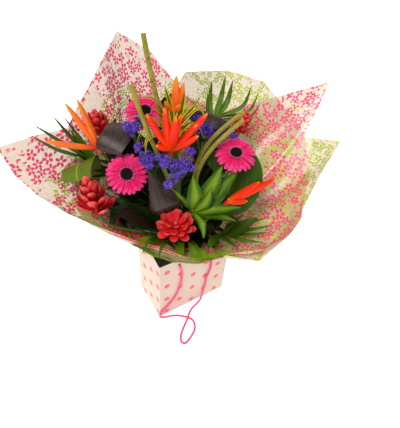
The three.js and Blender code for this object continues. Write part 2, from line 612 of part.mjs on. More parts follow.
function waterPack() {
  const half = [pack.width / 2 - pack.bevel, pack.depth / 2 - pack.bevel];
  const round = pack.corner - pack.bevel;
  const outline = new THREE.Shape();
  for (const [x, y, from] of [[1, 1, 0], [-1, 1, 90], [-1, -1, 180], [1, -1, 270]]) {
    outline.absarc(x * (half[0] - round), y * (half[1] - round), round, rad(from), rad(from + 90));
  }
  const block = new THREE.ExtrudeGeometry(outline, {
    depth: pack.height - 2 * pack.bevel, bevelThickness: pack.bevel, bevelSize: pack.bevel,
    bevelSegments: 1, curveSegments: 3,
  }).translate(0, 0, bag.card + gap + pack.bevel);
  const holes = slots.map((slot) => {
    const foot = placeAtTie(slot).setZ(pack.floor);
    const bore = new THREE.LineCurve3(foot, foot.clone().setZ(pack.height + 20));
    return tube(bore, () => pack.bore, { steps: 1 });
  });
  return cut(block, holes);
}

add('water_pack', waterPack(), colours.water);

// ---------------------------------------------------------------- film wrapper

// The trumpet that both sheets follow: at each azimuth the belly and the rim of its profile,
// as [radius, height], and how much of the profile the pink and the lime sheet cover.
const trumpet = [
  [-171, [112, 184], [116, 239], 1, 0.96], [-147, [104, 182], [101, 244], 1, 0.96],
  [-121, [98, 182], [105, 234], 1, 0.96], [-105, [92, 183], [104, 222], 1, 0.96],
  [-90, [88, 184], [106, 214], 1, 0.96], [-75, [95, 184], [118, 222], 1, 0.96],
  [-58, [140, 184], [178, 238], 1, 0.9], [-41, [180, 187], [222, 244], 1, 0.96],
  [-33, [192, 189], [244, 260], 1, 0.96], [-26, [205, 192], [254, 268], 0.97, 1],
  [-18, [225, 198], [294, 333], 0.84, 1], [-10, [250, 205], [356, 370], 0.76, 1],
  [1, [230, 212], [372, 436], 0.8, 0.8], [5, [220, 215], [383, 461], 1, 0.8],
  [26, [190, 215], [310, 440], 0.9, 1], [42, [190, 215], [300, 450], 0.8, 1],
  [62, [170, 215], [232, 460], 0.9, 1], [80, [160, 215], [240, 500], 1, 0.75],
  [95, [160, 215], [256, 540], 1, 0.6], [102, [162, 215], [242, 516], 1, 0.66],
  [110, [165, 215], [223, 502], 1, 0.7], [117, [167, 214], [229, 466], 1, 0.75],
  [125, [170, 212], [244, 422], 1, 0.8], [132, [176, 210], [248, 396], 1, 0.84],
  [140, [165, 232], [298, 390], 1, 0.8], [149, [165, 236], [343, 390], 1, 0.62],
  [154, [160, 236], [312, 350], 1, 0.7], [158, [155, 234], [276, 318], 1, 0.74],
  [165, [145, 224], [226, 294], 1, 0.8], [172, [130, 206], [180, 272], 1, 0.9],
];
const limeFlap = { azimuth: -58, belly: [132, 183], rim: [184, 206] };

function profileAt(azimuth, sheet) {
  const last = trumpet.length;
  let next = trumpet.findIndex((row) => row[0] > azimuth);
  if (next < 0) next = last;
  const [low, high] = [trumpet[(next - 1 + last) % last], trumpet[next % last]];
  const from = low[0] > azimuth ? low[0] - 360 : low[0];
  const to = high[0] <= azimuth ? high[0] + 360 : high[0];
  const t = (azimuth - from) / (to - from);
  const part = (row) => {
    const flap = sheet === 'lime' && row[0] === limeFlap.azimuth;
    return [...(flap ? limeFlap.belly : row[1]), ...(flap ? limeFlap.rim : row[2]), row[3], row[4]];
  };
  return part(low).map((value, i) => lerp(value, part(high)[i], t));
}

// A point of the trumpet: t is below 0 on the neck and 0 to 1 from the mouth to the rim.
function trumpetPoint(azimuth, t, sheet) {
  const [bellyR, bellyZ, rimR, rimZ] = profileAt(azimuth, sheet);
  const bend = (a, b, c) => (1 - t) ** 2 * a + 2 * t * (1 - t) * b + t * t * c;
  const r = t < 0 ? lerp(film.mouth[0], film.neck[0], -t) : bend(film.mouth[0], bellyR, rimR);
  const z = t < 0 ? lerp(film.mouth[1], film.neck[1], -t) : bend(film.mouth[1], bellyZ, rimZ);
  return V(r * Math.cos(rad(azimuth)), r * Math.sin(rad(azimuth)), z);
}

function trumpetNormal(azimuth, t, sheet) { // towards the flowers
  const step = 0.02;
  const along = trumpetPoint(azimuth, Math.min(t + step, 1), sheet)
    .sub(trumpetPoint(azimuth, Math.max(t - step, -1), sheet));
  const round = trumpetPoint(azimuth + 1, t, sheet).sub(trumpetPoint(azimuth - 1, t, sheet));
  return along.cross(round).normalize();
}

function filmSheet(sheet) {
  const azimuths = [];
  trumpet.forEach((row, i) => {
    const to = i + 1 < trumpet.length ? trumpet[i + 1][0] : trumpet[0][0] + 360;
    const parts = to - row[0] > 16 ? 2 : 1;
    for (let k = 0; k < parts; k += 1) azimuths.push(lerp(row[0], to, k / parts));
  });
  const inner = [];
  const outer = [];
  const rows = 4;
  const sink = sheet === 'lime' ? film.between : 0;
  for (const azimuth of azimuths) {
    const [, , , , pink, lime] = profileAt(azimuth, sheet);
    const common = Math.min(pink, lime) - 0.02;
    const own = sheet === 'lime' ? lime : pink;
    const levels = [-1, 0];
    for (let i = 1; i <= rows; i += 1) levels.push((common * i) / rows);
    levels.push(own);
    for (const t of levels) {
      const point = trumpetPoint(azimuth, t, sheet);
      const normal = trumpetNormal(azimuth, t, sheet);
      const depth = sink * (t < 0 ? 0.6 : 1);
      inner.push(point.clone().addScaledVector(normal, -depth));
      outer.push(point.clone().addScaledVector(normal, -depth - film.thick));
    }
  }
  const count = rows + 3;
  const total = azimuths.length;
  const low = inner.length;
  const faces = [];
  for (let i = 0; i < total; i += 1) {
    const j = (i + 1) % total;
    for (let k = 0; k + 1 < count; k += 1) {
      const [a, b, c, d] = [i * count + k, j * count + k, j * count + k + 1, i * count + k + 1];
      faces.push([a, c, b], [a, d, c]);
      faces.push([low + a, low + b, low + c], [low + a, low + c, low + d]);
    }
    const [p, q] = [i * count, j * count];
    faces.push([p, q, low + q], [p, low + q, low + p]);
    const [e, f] = [p + count - 1, q + count - 1];
    faces.push([e, low + f, f], [e, low + e, low + f]);
  }
  return geometryOf(inner.concat(outer), faces);
}

add('film_pink', filmSheet('pink'), colours.pinkFilm);
add('film_lime', filmSheet('lime'), colours.limeFilm);

// ---------------------------------------------------------------- gift bag

function bagRing(inset, z, pinch) {
  const [x, y] = [bag.width / 2 - inset, bag.depth / 2 - inset];
  return [V(x - pinch, 0, z), V(x, y, z), V(-x, y, z), V(-x + pinch, 0, z), V(-x, -y, z), V(x, -y, z)];
}

function giftBag() {
  const over = 5;
  const outside = loft([bagRing(0, 0, 0), bagRing(0, bag.foldHeight, 0),
    bagRing(0, bag.height, bag.gusset)]);
  const inside = loft([bagRing(bag.card, bag.card, 0), bagRing(bag.card, bag.foldHeight, 0),
    bagRing(bag.card, bag.height + over, bag.gusset * 1.04)]);
  const holes = [-1, 1].flatMap((x) => [-1, 1].map((y) => (
    new THREE.CylinderGeometry(grip.hole, grip.hole, 12, 8)
      .translate(x * grip.spread, (y * bag.depth) / 2, grip.height))));
  return cut(outside, [inside, ...holes]);
}

add('bag', giftBag(), colours.card);

// ---------------------------------------------------------------- handle

const face = -bag.depth / 2; // the front face, which the handle leaves
const lie = grip.cord / 2 + 0.1; // the cord's middle where it lies on the table
const by = face - lie - 0.2; // and where it hangs against the face
const across = lie + grip.cord + 0.4; // and where it passes over itself

const handlePath = [
  [-grip.spread, face - 1.2, grip.height], [-42, face - 4.6, 162.6], [-41, face - 3.4, 157],
  [-39, by, 148], [-37, by, 138],
  [-36, by, 126], [-37, by, 108], [-41, by, 86], [-48, by, 66], [-58, by, 49], [-70, by, 36],
  [-82, by, 27], [-90, by - 0.6, 18], [-91, by - 3, 9], [-84, by - 5, 4], [-74, by - 7, lie],
  [-62, -66, lie], [-51, -72, lie], [-41, -80, lie], [-32, -89, lie], [-27, -100, lie],
  [-29, -112, lie], [-38, -125, lie], [-51, -133, lie], [-63, -139, lie], [-72, -141, lie],
  [-77, -135, lie], [-75, -127, lie], [-68, -117, lie], [-57, -107, lie + 1], [-45, -98, 5.6],
  [-34, -89, across], [-23, -79, 5.6], [-11, -71, lie + 0.6], [3, -66, lie], [15, -62, 4],
  [23, -58, 14], [28, by, 30], [32, by, 56], [32, by, 74], [38, by, 92], [42, by, 114],
  [41, by, 134], [41, by, 148], [42, face - 3.4, 157], [42, face - 4.6, 162.6],
  [grip.spread, face - 1.2, grip.height],
];

function handleCord() {
  const round = new THREE.Shape();
  const sides = 8;
  for (let k = 0; k < sides; k += 1) {
    const angle = (2 * Math.PI * k) / sides;
    const point = [(grip.cord / 2) * Math.cos(angle), (grip.cord / 2) * Math.sin(angle)];
    if (k === 0) round.moveTo(...point);
    else round.lineTo(...point);
  }
  return new THREE.ExtrudeGeometry(round, { extrudePath: through(...handlePath), steps: 52 });
}

function knot(x) {
  const start = [x, face + bag.card + gap, grip.height];
  const inward = [x, face + bag.card + gap + 9, grip.height];
  const shape = [[0, 2.4], [0.2, grip.knot], [0.75, grip.knot], [1, 2]];
  return tube(through(start, inward), (t) => valueAt(shape, t), { sides: 8, steps: 4 });
}

add('handle_cord', handleCord(), colours.cord);
add('handle_knot_left', knot(-grip.spread), colours.cord);
add('handle_knot_right', knot(grip.spread), colours.cord);

export default bouquet;
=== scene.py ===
"""A wrapped mixed bouquet in its gift bag: every bloom, leaf, sheet and cord as its own piece.

Lengths in the layout tables are millimetres; a finished mesh is in metres. The origin is the
middle of the bag's base, +Z is up, and the bag's wide front face looks along -Y.
"""

import json
import math

import bpy
import numpy as np
from mathutils import Matrix, Vector

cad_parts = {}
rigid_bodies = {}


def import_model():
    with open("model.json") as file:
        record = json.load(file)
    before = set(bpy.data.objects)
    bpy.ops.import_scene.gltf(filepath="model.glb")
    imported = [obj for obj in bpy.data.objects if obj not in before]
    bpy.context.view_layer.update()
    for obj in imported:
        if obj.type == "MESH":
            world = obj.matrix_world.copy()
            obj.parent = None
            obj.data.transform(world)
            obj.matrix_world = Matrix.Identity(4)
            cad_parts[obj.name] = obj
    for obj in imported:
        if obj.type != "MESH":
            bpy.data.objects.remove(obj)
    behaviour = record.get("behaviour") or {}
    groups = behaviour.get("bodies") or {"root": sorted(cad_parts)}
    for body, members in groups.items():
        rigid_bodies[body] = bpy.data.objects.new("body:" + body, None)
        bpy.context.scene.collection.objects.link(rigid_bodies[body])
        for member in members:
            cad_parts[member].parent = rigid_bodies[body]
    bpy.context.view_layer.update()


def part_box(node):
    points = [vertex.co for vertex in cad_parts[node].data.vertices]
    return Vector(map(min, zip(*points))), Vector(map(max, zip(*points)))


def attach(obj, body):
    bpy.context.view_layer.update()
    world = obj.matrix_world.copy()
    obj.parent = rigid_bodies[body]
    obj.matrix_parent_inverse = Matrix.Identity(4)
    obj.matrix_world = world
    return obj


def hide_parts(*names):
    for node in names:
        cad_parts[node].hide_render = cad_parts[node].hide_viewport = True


bl_info = {
    "name": "Wrapped Bouquet Maker",
    "version": (1, 0, 0),
    "blender": (4, 5, 0),
    "location": "View3D > Sidebar > Bouquet",
    "description": "Makes a wrapped mixed bouquet and its gift bag, piece by piece",
    "category": "Add Mesh",
}

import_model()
MM = 0.001
# a print is laid out in units of 100 mm
PRINT_UNIT = 100
TO_PRINT = 1 / (PRINT_UNIT * MM)
BODY = "root"


# ------------------------------------------------------------------ sums on lines and sections

def unit(vectors):
    """Vectors made one long."""
    vectors = np.asarray(vectors, float)
    return vectors / np.linalg.norm(vectors, axis=-1, keepdims=True)


def profile(table, ease=0.1):
    """A function that reads a table of (place, value) pairs, with its corners eased."""
    places, values = np.array(table, float).T

    def read(t):
        t = np.asarray(t, float)
        reach = np.minimum(ease, np.minimum(t - places[0], places[-1] - t))
        shifts = np.linspace(-1, 1, 9)
        return sum(np.interp(t + reach * shift, places, values) for shift in shifts) / len(shifts)
    return read


def between_rows(places, values, wanted, around):
    """Values read between rows of a ring without overshoot; around is the ring's full turn."""
    places = np.concatenate([places[-2:] - around, places, places[:2] + around])
    values = np.concatenate([values[-2:], values, values[:2]])
    steps = np.diff(places)[:, None]
    slopes = np.diff(values, axis=0) / steps
    before, after = slopes[:-1], slopes[1:]
    same = before * after > 0
    safe = np.where(same, before * after, 1.0)
    knots = np.zeros_like(values)
    knots[1:-1] = np.where(same, 2 * safe / np.where(same, before + after, 1.0), 0.0)
    at = np.clip(np.searchsorted(places, wanted, side="right") - 1, 0, len(places) - 2)
    width = steps[at]
    t = ((wanted - places[at]) / np.diff(places)[at])[:, None]
    rise = values[at + 1] - values[at]
    return (values[at] + knots[at] * width * (t - 2 * t**2 + t**3)
            + rise * (3 * t**2 - 2 * t**3) + knots[at + 1] * width * (t**3 - t**2))


class Line:
    """A line in space that is read by the share of its length."""

    def __init__(self, points):
        self.points = np.asarray(points, float)
        steps = np.linalg.norm(np.diff(self.points, axis=0), axis=1)
        self.run = np.concatenate([[0.0], np.cumsum(steps)])
        self.length = self.run[-1]

    @classmethod
    def through(cls, points, per_span=24):
        """A round line through all the points."""
        points = np.asarray(points, float)
        points = np.vstack([2 * points[0] - points[1], points, 2 * points[-1] - points[-2]])
        made = []
        for p0, p1, p2, p3 in zip(points, points[1:], points[2:], points[3:]):
            gaps = [max(np.linalg.norm(b - a) ** 0.5, 1e-4)
                    for a, b in ((p0, p1), (p1, p2), (p2, p3))]
            out = ((p1 - p0) / gaps[0] - (p2 - p0) / (gaps[0] + gaps[1])
                   + (p2 - p1) / gaps[1]) * gaps[1]
            into = ((p2 - p1) / gaps[1] - (p3 - p1) / (gaps[1] + gaps[2])
                    + (p3 - p2) / gaps[2]) * gaps[1]
            t = np.linspace(0, 1, per_span, endpoint=False)[:, None]
            made.append(p1 + out * t + (3 * (p2 - p1) - 2 * out - into) * t**2
                        + (2 * (p1 - p2) + out + into) * t**3)
        return cls(np.vstack(made + [points[-2][None]]))

    @classmethod
    def bent(cls, start, pull_start, pull_end, end):
        """A line bent by two pulling points."""
        t = np.linspace(0, 1, 60)[:, None]
        return cls((1 - t)**3 * start + 3 * (1 - t)**2 * t * pull_start
                   + 3 * (1 - t) * t**2 * pull_end + t**3 * end)

    def at(self, share):
        run = np.asarray(share, float) * self.length
        return np.stack([np.interp(run, self.run, self.points[:, k]) for k in range(3)], axis=-1)

    def heading(self, share):
        share = np.asarray(share, float)
        return unit(self.at(np.minimum(share + 0.01, 1)) - self.at(np.maximum(share - 0.01, 0)))

    def frames(self, share, face):
        """Places, normals and sides, with the normal turning as little as it can."""
        normal = np.asarray(face, float)
        normals = []
        headings = self.heading(share)
        for along in headings:
            normal = unit(normal - along * (normal @ along))
            normals.append(normal)
        return self.at(share), np.array(normals), np.cross(headings, normals)


# ------------------------------------------------------------------ meshes in the making

# steps along and across a grid to the four corners of one of its faces, seen from above
FACE = ((0, 0), (0, 1), (1, 1), (1, 0))
FACE_FROM_BELOW = (FACE[0], *FACE[:0:-1])


def quads(grid, order=FACE):
    """What a grid holds at the four corners of each of its faces."""
    rows, columns = grid.shape[0] - 1, grid.shape[1] - 1
    spots = [grid[i:rows + i, k:columns + k] for i, k in order]
    return np.stack(spots, axis=2).reshape(rows * columns, 4, *grid.shape[2:])


class Shape:
    """The corners, faces, printed places and tones of a piece while it is made."""

    def __init__(self):
        self.points, self.faces, self.corners, self.tones, self.runs = [], [], [], [], []
        self.total = 0

    def take(self, points, faces, corners, tone=0.5, run=0.5):
        points = np.asarray(points, float).reshape(-1, 3)
        self.points.append(points)
        self.faces += (np.asarray(faces) + self.total).tolist()
        self.corners.append(np.asarray(corners, float).reshape(-1, 2))
        self.tones.append(np.broadcast_to(np.asarray(tone, float), (len(points),)))
        self.runs.append(np.broadcast_to(np.asarray(run, float), (len(points),)))
        self.total += len(points)

    def skin(self, rings, lengths, tone=0.5, around=None, cap=None):
        """A closed tube over rings of points. Its print runs round it and along it; the print of
        its two ends is one spot, the cap."""
        rows, count = rings.shape[:2]
        lengths = np.asarray(lengths, float)
        around = np.arange(count + 1) / count if around is None else around
        uv = np.stack(np.broadcast_arrays(around, lengths[:, None]), axis=-1)
        index = np.arange(rows * count).reshape(rows, count)
        start = self.total
        self.take(rings, quads(np.append(index, index[:, :1], axis=1)), quads(uv), tone,
                  np.repeat(np.linspace(0, 1, rows), count))
        for ring, length in ((index[0][::-1], lengths[0]), (index[-1], lengths[-1])):
            self.faces.append((start + ring).tolist())
            self.corners.append(np.tile(cap or (0.5, length), (count, 1)))

    def tube(self, line, radius, *, sides=10, steps=20, face=(1, 0, 0), flat=1.0, tone=0.5):
        """A tube along a line. radius is a function of the share run; flat thins its section."""
        share = np.linspace(0, 1, steps + 1)
        at, normal, side = line.frames(share, face)
        angle = 2 * np.pi * np.arange(sides) / sides
        size = np.broadcast_to(np.asarray(radius(share), float), share.shape)[:, None, None]
        rings = (at[:, None] + side[:, None] * size * np.cos(angle)[None, :, None]
                 - normal[:, None] * size * flat * np.sin(angle)[None, :, None])
        self.skin(rings, share * line.length / PRINT_UNIT, tone)

    def blade(self, line, width, face, *, curl=0.0, across=8, steps=20, thick=0.7, rib=0.0,
              ripple=0.0, ripples=3.0, phase=0.0, tone=0.5):
        """A leaf or petal, thin at its edge. width and curl are functions of the share run."""
        share = np.linspace(0, 1, steps + 1)
        at, normal, side = (part[:, None] for part in line.frames(share, face))
        u = np.linspace(-1, 1, across + 1)[None, :, None]
        bend = curl(share) if callable(curl) else np.full(share.shape, float(curl))
        bend = np.where(np.abs(bend) < 1e-3, 1e-3, bend)[:, None, None]
        wide = np.asarray(width(share), float)[:, None, None]
        angle = u * bend / 2
        turn = share[:, None, None] * 2 * np.pi
        lift = (-rib * np.exp(-(u / 0.14)**2) * np.minimum(1, wide / 12)
                + ripple * u**2 * np.sin(ripples * turn + phase + 0.8 * np.sign(u)))
        out = normal * np.cos(angle) + side * np.sin(angle)
        middle = at + side * (wide / bend) * np.sin(angle) + normal * (
            (wide / bend) * (np.cos(angle) - 1) + lift)
        rows, columns = len(share), across + 1
        inside = np.zeros((rows, columns, 1))
        inside[1:-1, 1:-1] = thick / 2
        inside = inside * (1 - 0.6 * u**4)
        top = middle + out * inside
        under = (middle - out * inside)[1:-1, 1:-1]
        low = np.arange(rows * columns).reshape(rows, columns)
        high = low.copy()
        low[1:-1, 1:-1] = rows * columns + np.arange(under[..., 0].size).reshape(under.shape[:2])
        uv = np.stack(np.broadcast_arrays(u[..., 0] * 0.5 + 0.5,
                                          share[:, None] * line.length / PRINT_UNIT), -1)
        self.take(np.concatenate([top.reshape(-1, 3), under.reshape(-1, 3)]),
                  np.concatenate([quads(high), quads(low, FACE_FROM_BELOW)]),
                  np.concatenate([quads(uv), quads(uv, FACE_FROM_BELOW)]), tone,
                  np.concatenate([np.repeat(share, columns), np.repeat(share[1:-1], columns - 2)]))

    def mesh(self, name, bare=False):
        """The mesh of everything made so far; a bare one gets its tones later."""
        made = bpy.data.meshes.new(name)
        made.from_pydata((np.concatenate(self.points) * MM).tolist(), [], self.faces)
        uv = made.uv_layers.new(name="UVMap")
        uv.data.foreach_set("uv", np.concatenate(self.corners).astype(np.float32).ravel())
        for word, values in (("tone", self.tones), ("run", self.runs)):
            if not (bare and word == "tone"):
                layer = made.attributes.new(word, "FLOAT", "POINT")
                layer.data.foreach_set("value", np.concatenate(values).astype(np.float32))
        return made

    def piece(self, name, bare=False):
        """An object of everything made so far."""
        return show(name, self.mesh(name, bare))


def show(name, mesh):
    """An object of a mesh, at the origin."""
    made = bpy.data.objects.new(name, mesh)
    bpy.context.scene.collection.objects.link(made)
    return made


def settle(piece, finish, stands_for=(), crease=60):
    """Finishes a piece: its paint, smooth shading with the edges over the crease left sharp, the
    body it rides on and the nodes it stands for."""
    mesh = piece.data
    if finish:
        mesh.materials.clear()
        mesh.materials.append(paint(finish))
    mesh.polygons.foreach_set("use_smooth", np.ones(len(mesh.polygons), bool))
    mesh.set_sharp_from_angle(angle=math.radians(crease))
    mesh.update()
    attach(piece, BODY)
    if stands_for:
        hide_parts(*stands_for)
    return piece


def baked(piece):
    """The piece as a plain mesh, the way its modifiers leave it."""
    bpy.context.view_layer.update()
    graph = bpy.context.evaluated_depsgraph_get()
    mesh = bpy.data.meshes.new_from_object(piece.evaluated_get(graph), depsgraph=graph)
    name, spare = piece.name, piece.data
    bpy.data.objects.remove(piece)
    bpy.data.batch_remove([spare])
    mesh.name = name
    return show(name, mesh)


def moved(mesh, place, axis):
    """Stands a mesh in metres at a place in millimetres, with its own +Z along an axis."""
    turn = Vector((0, 0, 1)).rotation_difference(Vector(axis)).to_matrix().to_4x4()
    mesh.transform(Matrix.Translation(Vector(place) * MM) @ turn)
    return mesh


# ------------------------------------------------------------------ node trees in words

def math_node(operation, swapped=False):
    """A method of Value that adds one Math node."""
    def method(self, *others):
        values = [*others, self] if swapped else [self, *others]
        return self.nodes.add("ShaderNodeMath", {"operation": operation}, values)
    return method


class Value:
    """A socket of a node tree. Arithmetic on it adds Math nodes."""

    def __init__(self, nodes, socket):
        self.nodes, self.socket = nodes, socket

    __add__ = __radd__ = math_node("ADD")
    __sub__ = math_node("SUBTRACT")
    __rsub__ = math_node("SUBTRACT", swapped=True)
    __mul__ = __rmul__ = math_node("MULTIPLY")
    __truediv__ = math_node("DIVIDE")
    __rtruediv__ = math_node("DIVIDE", swapped=True)
    __pow__ = math_node("POWER")
    __lt__ = math_node("LESS_THAN")
    __gt__ = math_node("GREATER_THAN")
    sin = math_node("SINE")
    cos = math_node("COSINE")
    arctan2 = math_node("ARCTAN2")
    abs = math_node("ABSOLUTE")
    part = math_node("FRACT")
    low = math_node("MINIMUM")
    high = math_node("MAXIMUM")

    def wrap(self):
        """The number brought between -0.5 and 0.5."""
        return (self + 0.5).part() - 0.5

    def rise(self, start, end, low=0.0, high=1.0):
        """Goes smoothly from low to high as the value goes from start to end."""
        return self.nodes.add("ShaderNodeMapRange", {"interpolation_type": "SMOOTHSTEP"},
                              {"Value": self, "From Min": start, "From Max": end,
                               "To Min": low, "To Max": high})

    def out(self, name):
        """Another output of the same node."""
        return Value(self.nodes, self.socket.node.outputs[name])

    def split(self):
        """The three numbers of a vector."""
        made = self.nodes.add("ShaderNodeSeparateXYZ", {}, [self])
        return made, made.out("Y"), made.out("Z")


class Nodes:
    """A node tree, and the few words that build it."""

    def __init__(self, tree):
        self.tree = tree

    def add(self, kind, settings=None, inputs=None, output=0):
        """A node: its settings come first, then the values or links of its sockets."""
        made = self.tree.nodes.new(kind)
        settings = dict(settings or {})
        stops = settings.pop("stops", None)
        for name, value in settings.items():
            setattr(made, name, value)
        if stops:
            ramp = made.color_ramp
            while len(ramp.elements) < len(stops):
                ramp.elements.new(0.5)
            for element, (place, colour) in zip(ramp.elements, stops):
                element.position = place
                element.color = (*colour, 1.0)
        pairs = inputs.items() if isinstance(inputs, dict) else enumerate(inputs or [])
        for name, value in pairs:
            self.fill(made.inputs[name], value)
        return Value(self, made.outputs[output])

    def fill(self, socket, value):
        """Links a value to a socket, or writes a constant there."""
        if isinstance(value, Value):
            self.tree.links.new(value.socket, socket)
        elif socket.type == "RGBA":
            socket.default_value = (*value, 1.0)
        else:
            socket.default_value = value

    def vector(self, operation, *others, output=0):
        return self.add("ShaderNodeVectorMath", {"operation": operation}, others, output)


class Paint(Nodes):
    """One finish of a surface."""

    def __init__(self, name, **fixed):
        self.material = bpy.data.materials.new(name)
        self.material.use_nodes = True
        super().__init__(self.material.node_tree)
        self.tree.nodes.clear()
        self.shader = self.tree.nodes.new("ShaderNodeBsdfPrincipled")
        output = self.tree.nodes.new("ShaderNodeOutputMaterial")
        self.tree.links.new(self.shader.outputs[0], output.inputs[0])
        self.set(**fixed)

    def set(self, **values):
        """Gives the shader's sockets their constants or links."""
        for word, value in values.items():
            self.fill(self.shader.inputs[word.replace("_", " ")], value)
        return self.material

    def place(self):
        """Where the point is on the object, in metres."""
        return self.add("ShaderNodeTexCoord", output="Object")

    def print(self):
        """Where the point is on the piece's own print."""
        return self.add("ShaderNodeUVMap", {"uv_map": "UVMap"})

    def kept(self, word):
        """A number kept on the piece: its tone, or the run from its foot to its tip."""
        return self.add("ShaderNodeAttribute", {"attribute_name": word}, output="Fac")

    def mix(self, share, first, second):
        """A colour between two colours."""
        return self.add("ShaderNodeMix", {"data_type": "RGBA"}, {0: share, 6: first, 7: second}, 2)

    def noise(self, scale, detail=3, vector=None, stretch=None):
        vector = vector or self.place()
        if stretch:
            vector = self.vector("MULTIPLY", vector, stretch)
        return self.add("ShaderNodeTexNoise", {}, {"Vector": vector, "Scale": scale,
                                                   "Detail": detail})

    def ramp(self, share, *stops):
        return self.add("ShaderNodeValToRGB", {"stops": stops}, [share])

    def bump(self, height, depth, strength=1.0):
        return self.add("ShaderNodeBump", {}, {"Height": height, "Distance": depth,
                                               "Strength": strength})


def seen(red, green, blue):
    """A colour as it looks on a screen, as the linear numbers that a shader wants."""
    return tuple((c / 255 / 12.92) if c <= 10 else ((c / 255 + 0.055) / 1.055)**2.4
                 for c in (red, green, blue))


# ------------------------------------------------------------------ sizes and colours to change

def length(name, description, default):
    """A length property, given in millimetres."""
    return bpy.props.FloatProperty(name=name, description=description, default=default * MM,
                                   min=0.0, unit="LENGTH", precision=4)


def colour(name, description, *screen):
    """A colour property, given as it looks on a screen."""
    return bpy.props.FloatVectorProperty(name=name, description=description, subtype="COLOR",
                                         default=seen(*screen), min=0.0, max=1.0, size=3)


def count(name, description, default, low, high):
    """A property that counts."""
    return bpy.props.IntProperty(name=name, description=description, default=default, min=low,
                                 max=high)


def angle(name, description, degrees):
    """An angle property, given in degrees."""
    return bpy.props.FloatProperty(name=name, description=description, subtype="ANGLE",
                                   default=math.radians(degrees))


class BouquetBagSettings(bpy.types.PropertyGroup):
    width: length("Width", "Across the bag's wide face", 180)
    depth: length("Depth", "From the bag's front to its back", 105)
    height: length("Height", "From the table to the rim", 180)
    card: length("Card", "Thickness of the card", 0.8)
    gusset: length("Gusset", "How far each side folds in at the rim", 4)
    hem: length("Hem", "How far the rim is turned down inside", 32)
    dot: length("Dot", "Across one printed dot", 14)
    dot_column: length("Dot columns", "Between neighbouring columns of dots", 33.6)
    dot_row: length("Dot rows", "Between neighbouring rows of dots", 23.7)
    cord: length("Cord", "Across the handle's cord", 4.5)
    strands: count("Strands", "Strands twisted into the cord", 3, 2, 6)


class BouquetFilmSettings(bpy.types.PropertyGroup):
    thickness: length("Thickness", "Of one sheet of film", 0.35)
    pleat: length("Pleat", "How deep the gathered sheets ripple", 3.2)
    blossom: length("Blossom", "Across one printed blossom", 20)
    spray: length("Spray", "Across one printed spray of blossoms", 75)
    see_through: bpy.props.FloatProperty(name="See through", subtype="FACTOR", min=0, max=1,
                                         description="Light that passes the unprinted film",
                                         default=0.2)


class BouquetFlowerSettings(bpy.types.PropertyGroup):
    gerbera_reach: length("Gerbera", "From a gerbera's middle to its petal tips", 39)
    gerbera_petals: count("Gerbera petals", "Petals in a gerbera's outer ring", 23, 8, 40)
    eye_florets: count("Eye florets", "Florets in the dark eye of a gerbera", 210, 20, 400)
    ginger_bracts: count("Ginger bracts", "Waxy bracts on a red ginger head", 29, 6, 50)
    shaded_leaves: count("Shaded leaves", "Leaves tucked in beside each stem", 14, 0, 20)
    statice_spacing: length("Statice spacing", "Between neighbouring statice florets", 3.0)
    statice_floret: length("Statice floret", "Across one statice floret", 6.2)


class BouquetColours(bpy.types.PropertyGroup):
    card: colour("Card", "The bag's card", 224, 200, 184)
    dots: colour("Dots", "The bag's printed dots", 255, 98, 108)
    cord: colour("Cord", "The twisted handle", 250, 74, 128)
    film: colour("Film", "The unprinted film", 232, 206, 174)
    pink_print: colour("Pink print", "Blossoms on the inner sheet", 255, 78, 128)
    lime_print: colour("Lime print", "Blossoms on the outer sheet", 188, 206, 40)
    gerbera: colour("Gerbera", "The gerbera petals", 242, 20, 104)
    ginger: colour("Ginger", "The red ginger bracts", 226, 36, 40)
    heliconia: colour("Heliconia", "The heliconia bracts", 243, 46, 1)
    statice: colour("Statice", "The statice florets", 100, 58, 190)
    cordyline: colour("Cordyline", "The dark rolled leaves", 50, 34, 27)
    aspidistra: colour("Aspidistra", "The broad green leaves", 96, 116, 22)
    dracaena: colour("Dracaena", "The bright striped rosette", 58, 98, 4)
    leaf: colour("Foliage", "The low foliage and the palm fronds", 64, 98, 12)
    cane: colour("Cane", "The bare canes", 156, 146, 34)


class BouquetStageSettings(bpy.types.PropertyGroup):
    camera_azimuth: angle("Camera azimuth", "Round the object from its front", -35.6)
    camera_elevation: angle("Camera elevation", "Above the table's plane", 41.9)
    camera_roll: angle("Camera roll", "Round the camera's own line of sight", 5.4)
    lens: bpy.props.FloatProperty(name="Lens", default=29.44, subtype="DISTANCE_CAMERA",
                                  description="Focal length on a 36 mm sensor")
    light: bpy.props.FloatProperty(name="Light", default=1.0, min=0,
                                   description="Strength of all the studio lights together")


# ------------------------------------------------------------------ the bouquet's layout

STEM_SPACING = 7.0
STEM_TOP = 172.0
STEM_FOOT = 10.4
GAP = 0.3

GERBERAS = (
    ("gerbera_left", (-105, 45, 357), (-0.3, -0.72, 0.62), (2, 180)),
    ("gerbera_right", (82, -33, 393), (-0.2, -0.3, 0.93), (2, 330)),
    ("gerbera_back", (-35, 109, 437), (-0.2, -0.42, 0.88), (2, 90)),
)

# name, place, axis, place at the tie, length, reach, how far the outer and inner bracts lean,
# and how broad a bract is
GINGERS = (
    ("ginger_front", (-53, -50, 276), (-0.15, -0.22, 0.95), (3, 240), 14, 34, (98, 48), 0.88),
    ("ginger_left", (-168, 44, 286), (-0.1, 0.22, 0.97), (3, 180), 52, 36, (72, 12), 0.95),
    ("ginger_back_left", (-111, 146, 385), (-0.15, 0.15, 0.97), (3, 100), 32, 31, (76, 14), 0.8),
    ("ginger_right", (157, 60, 372), (0.35, 0.02, 0.93), (3, 20), 30, 28, (70, 14), 0.8),
)

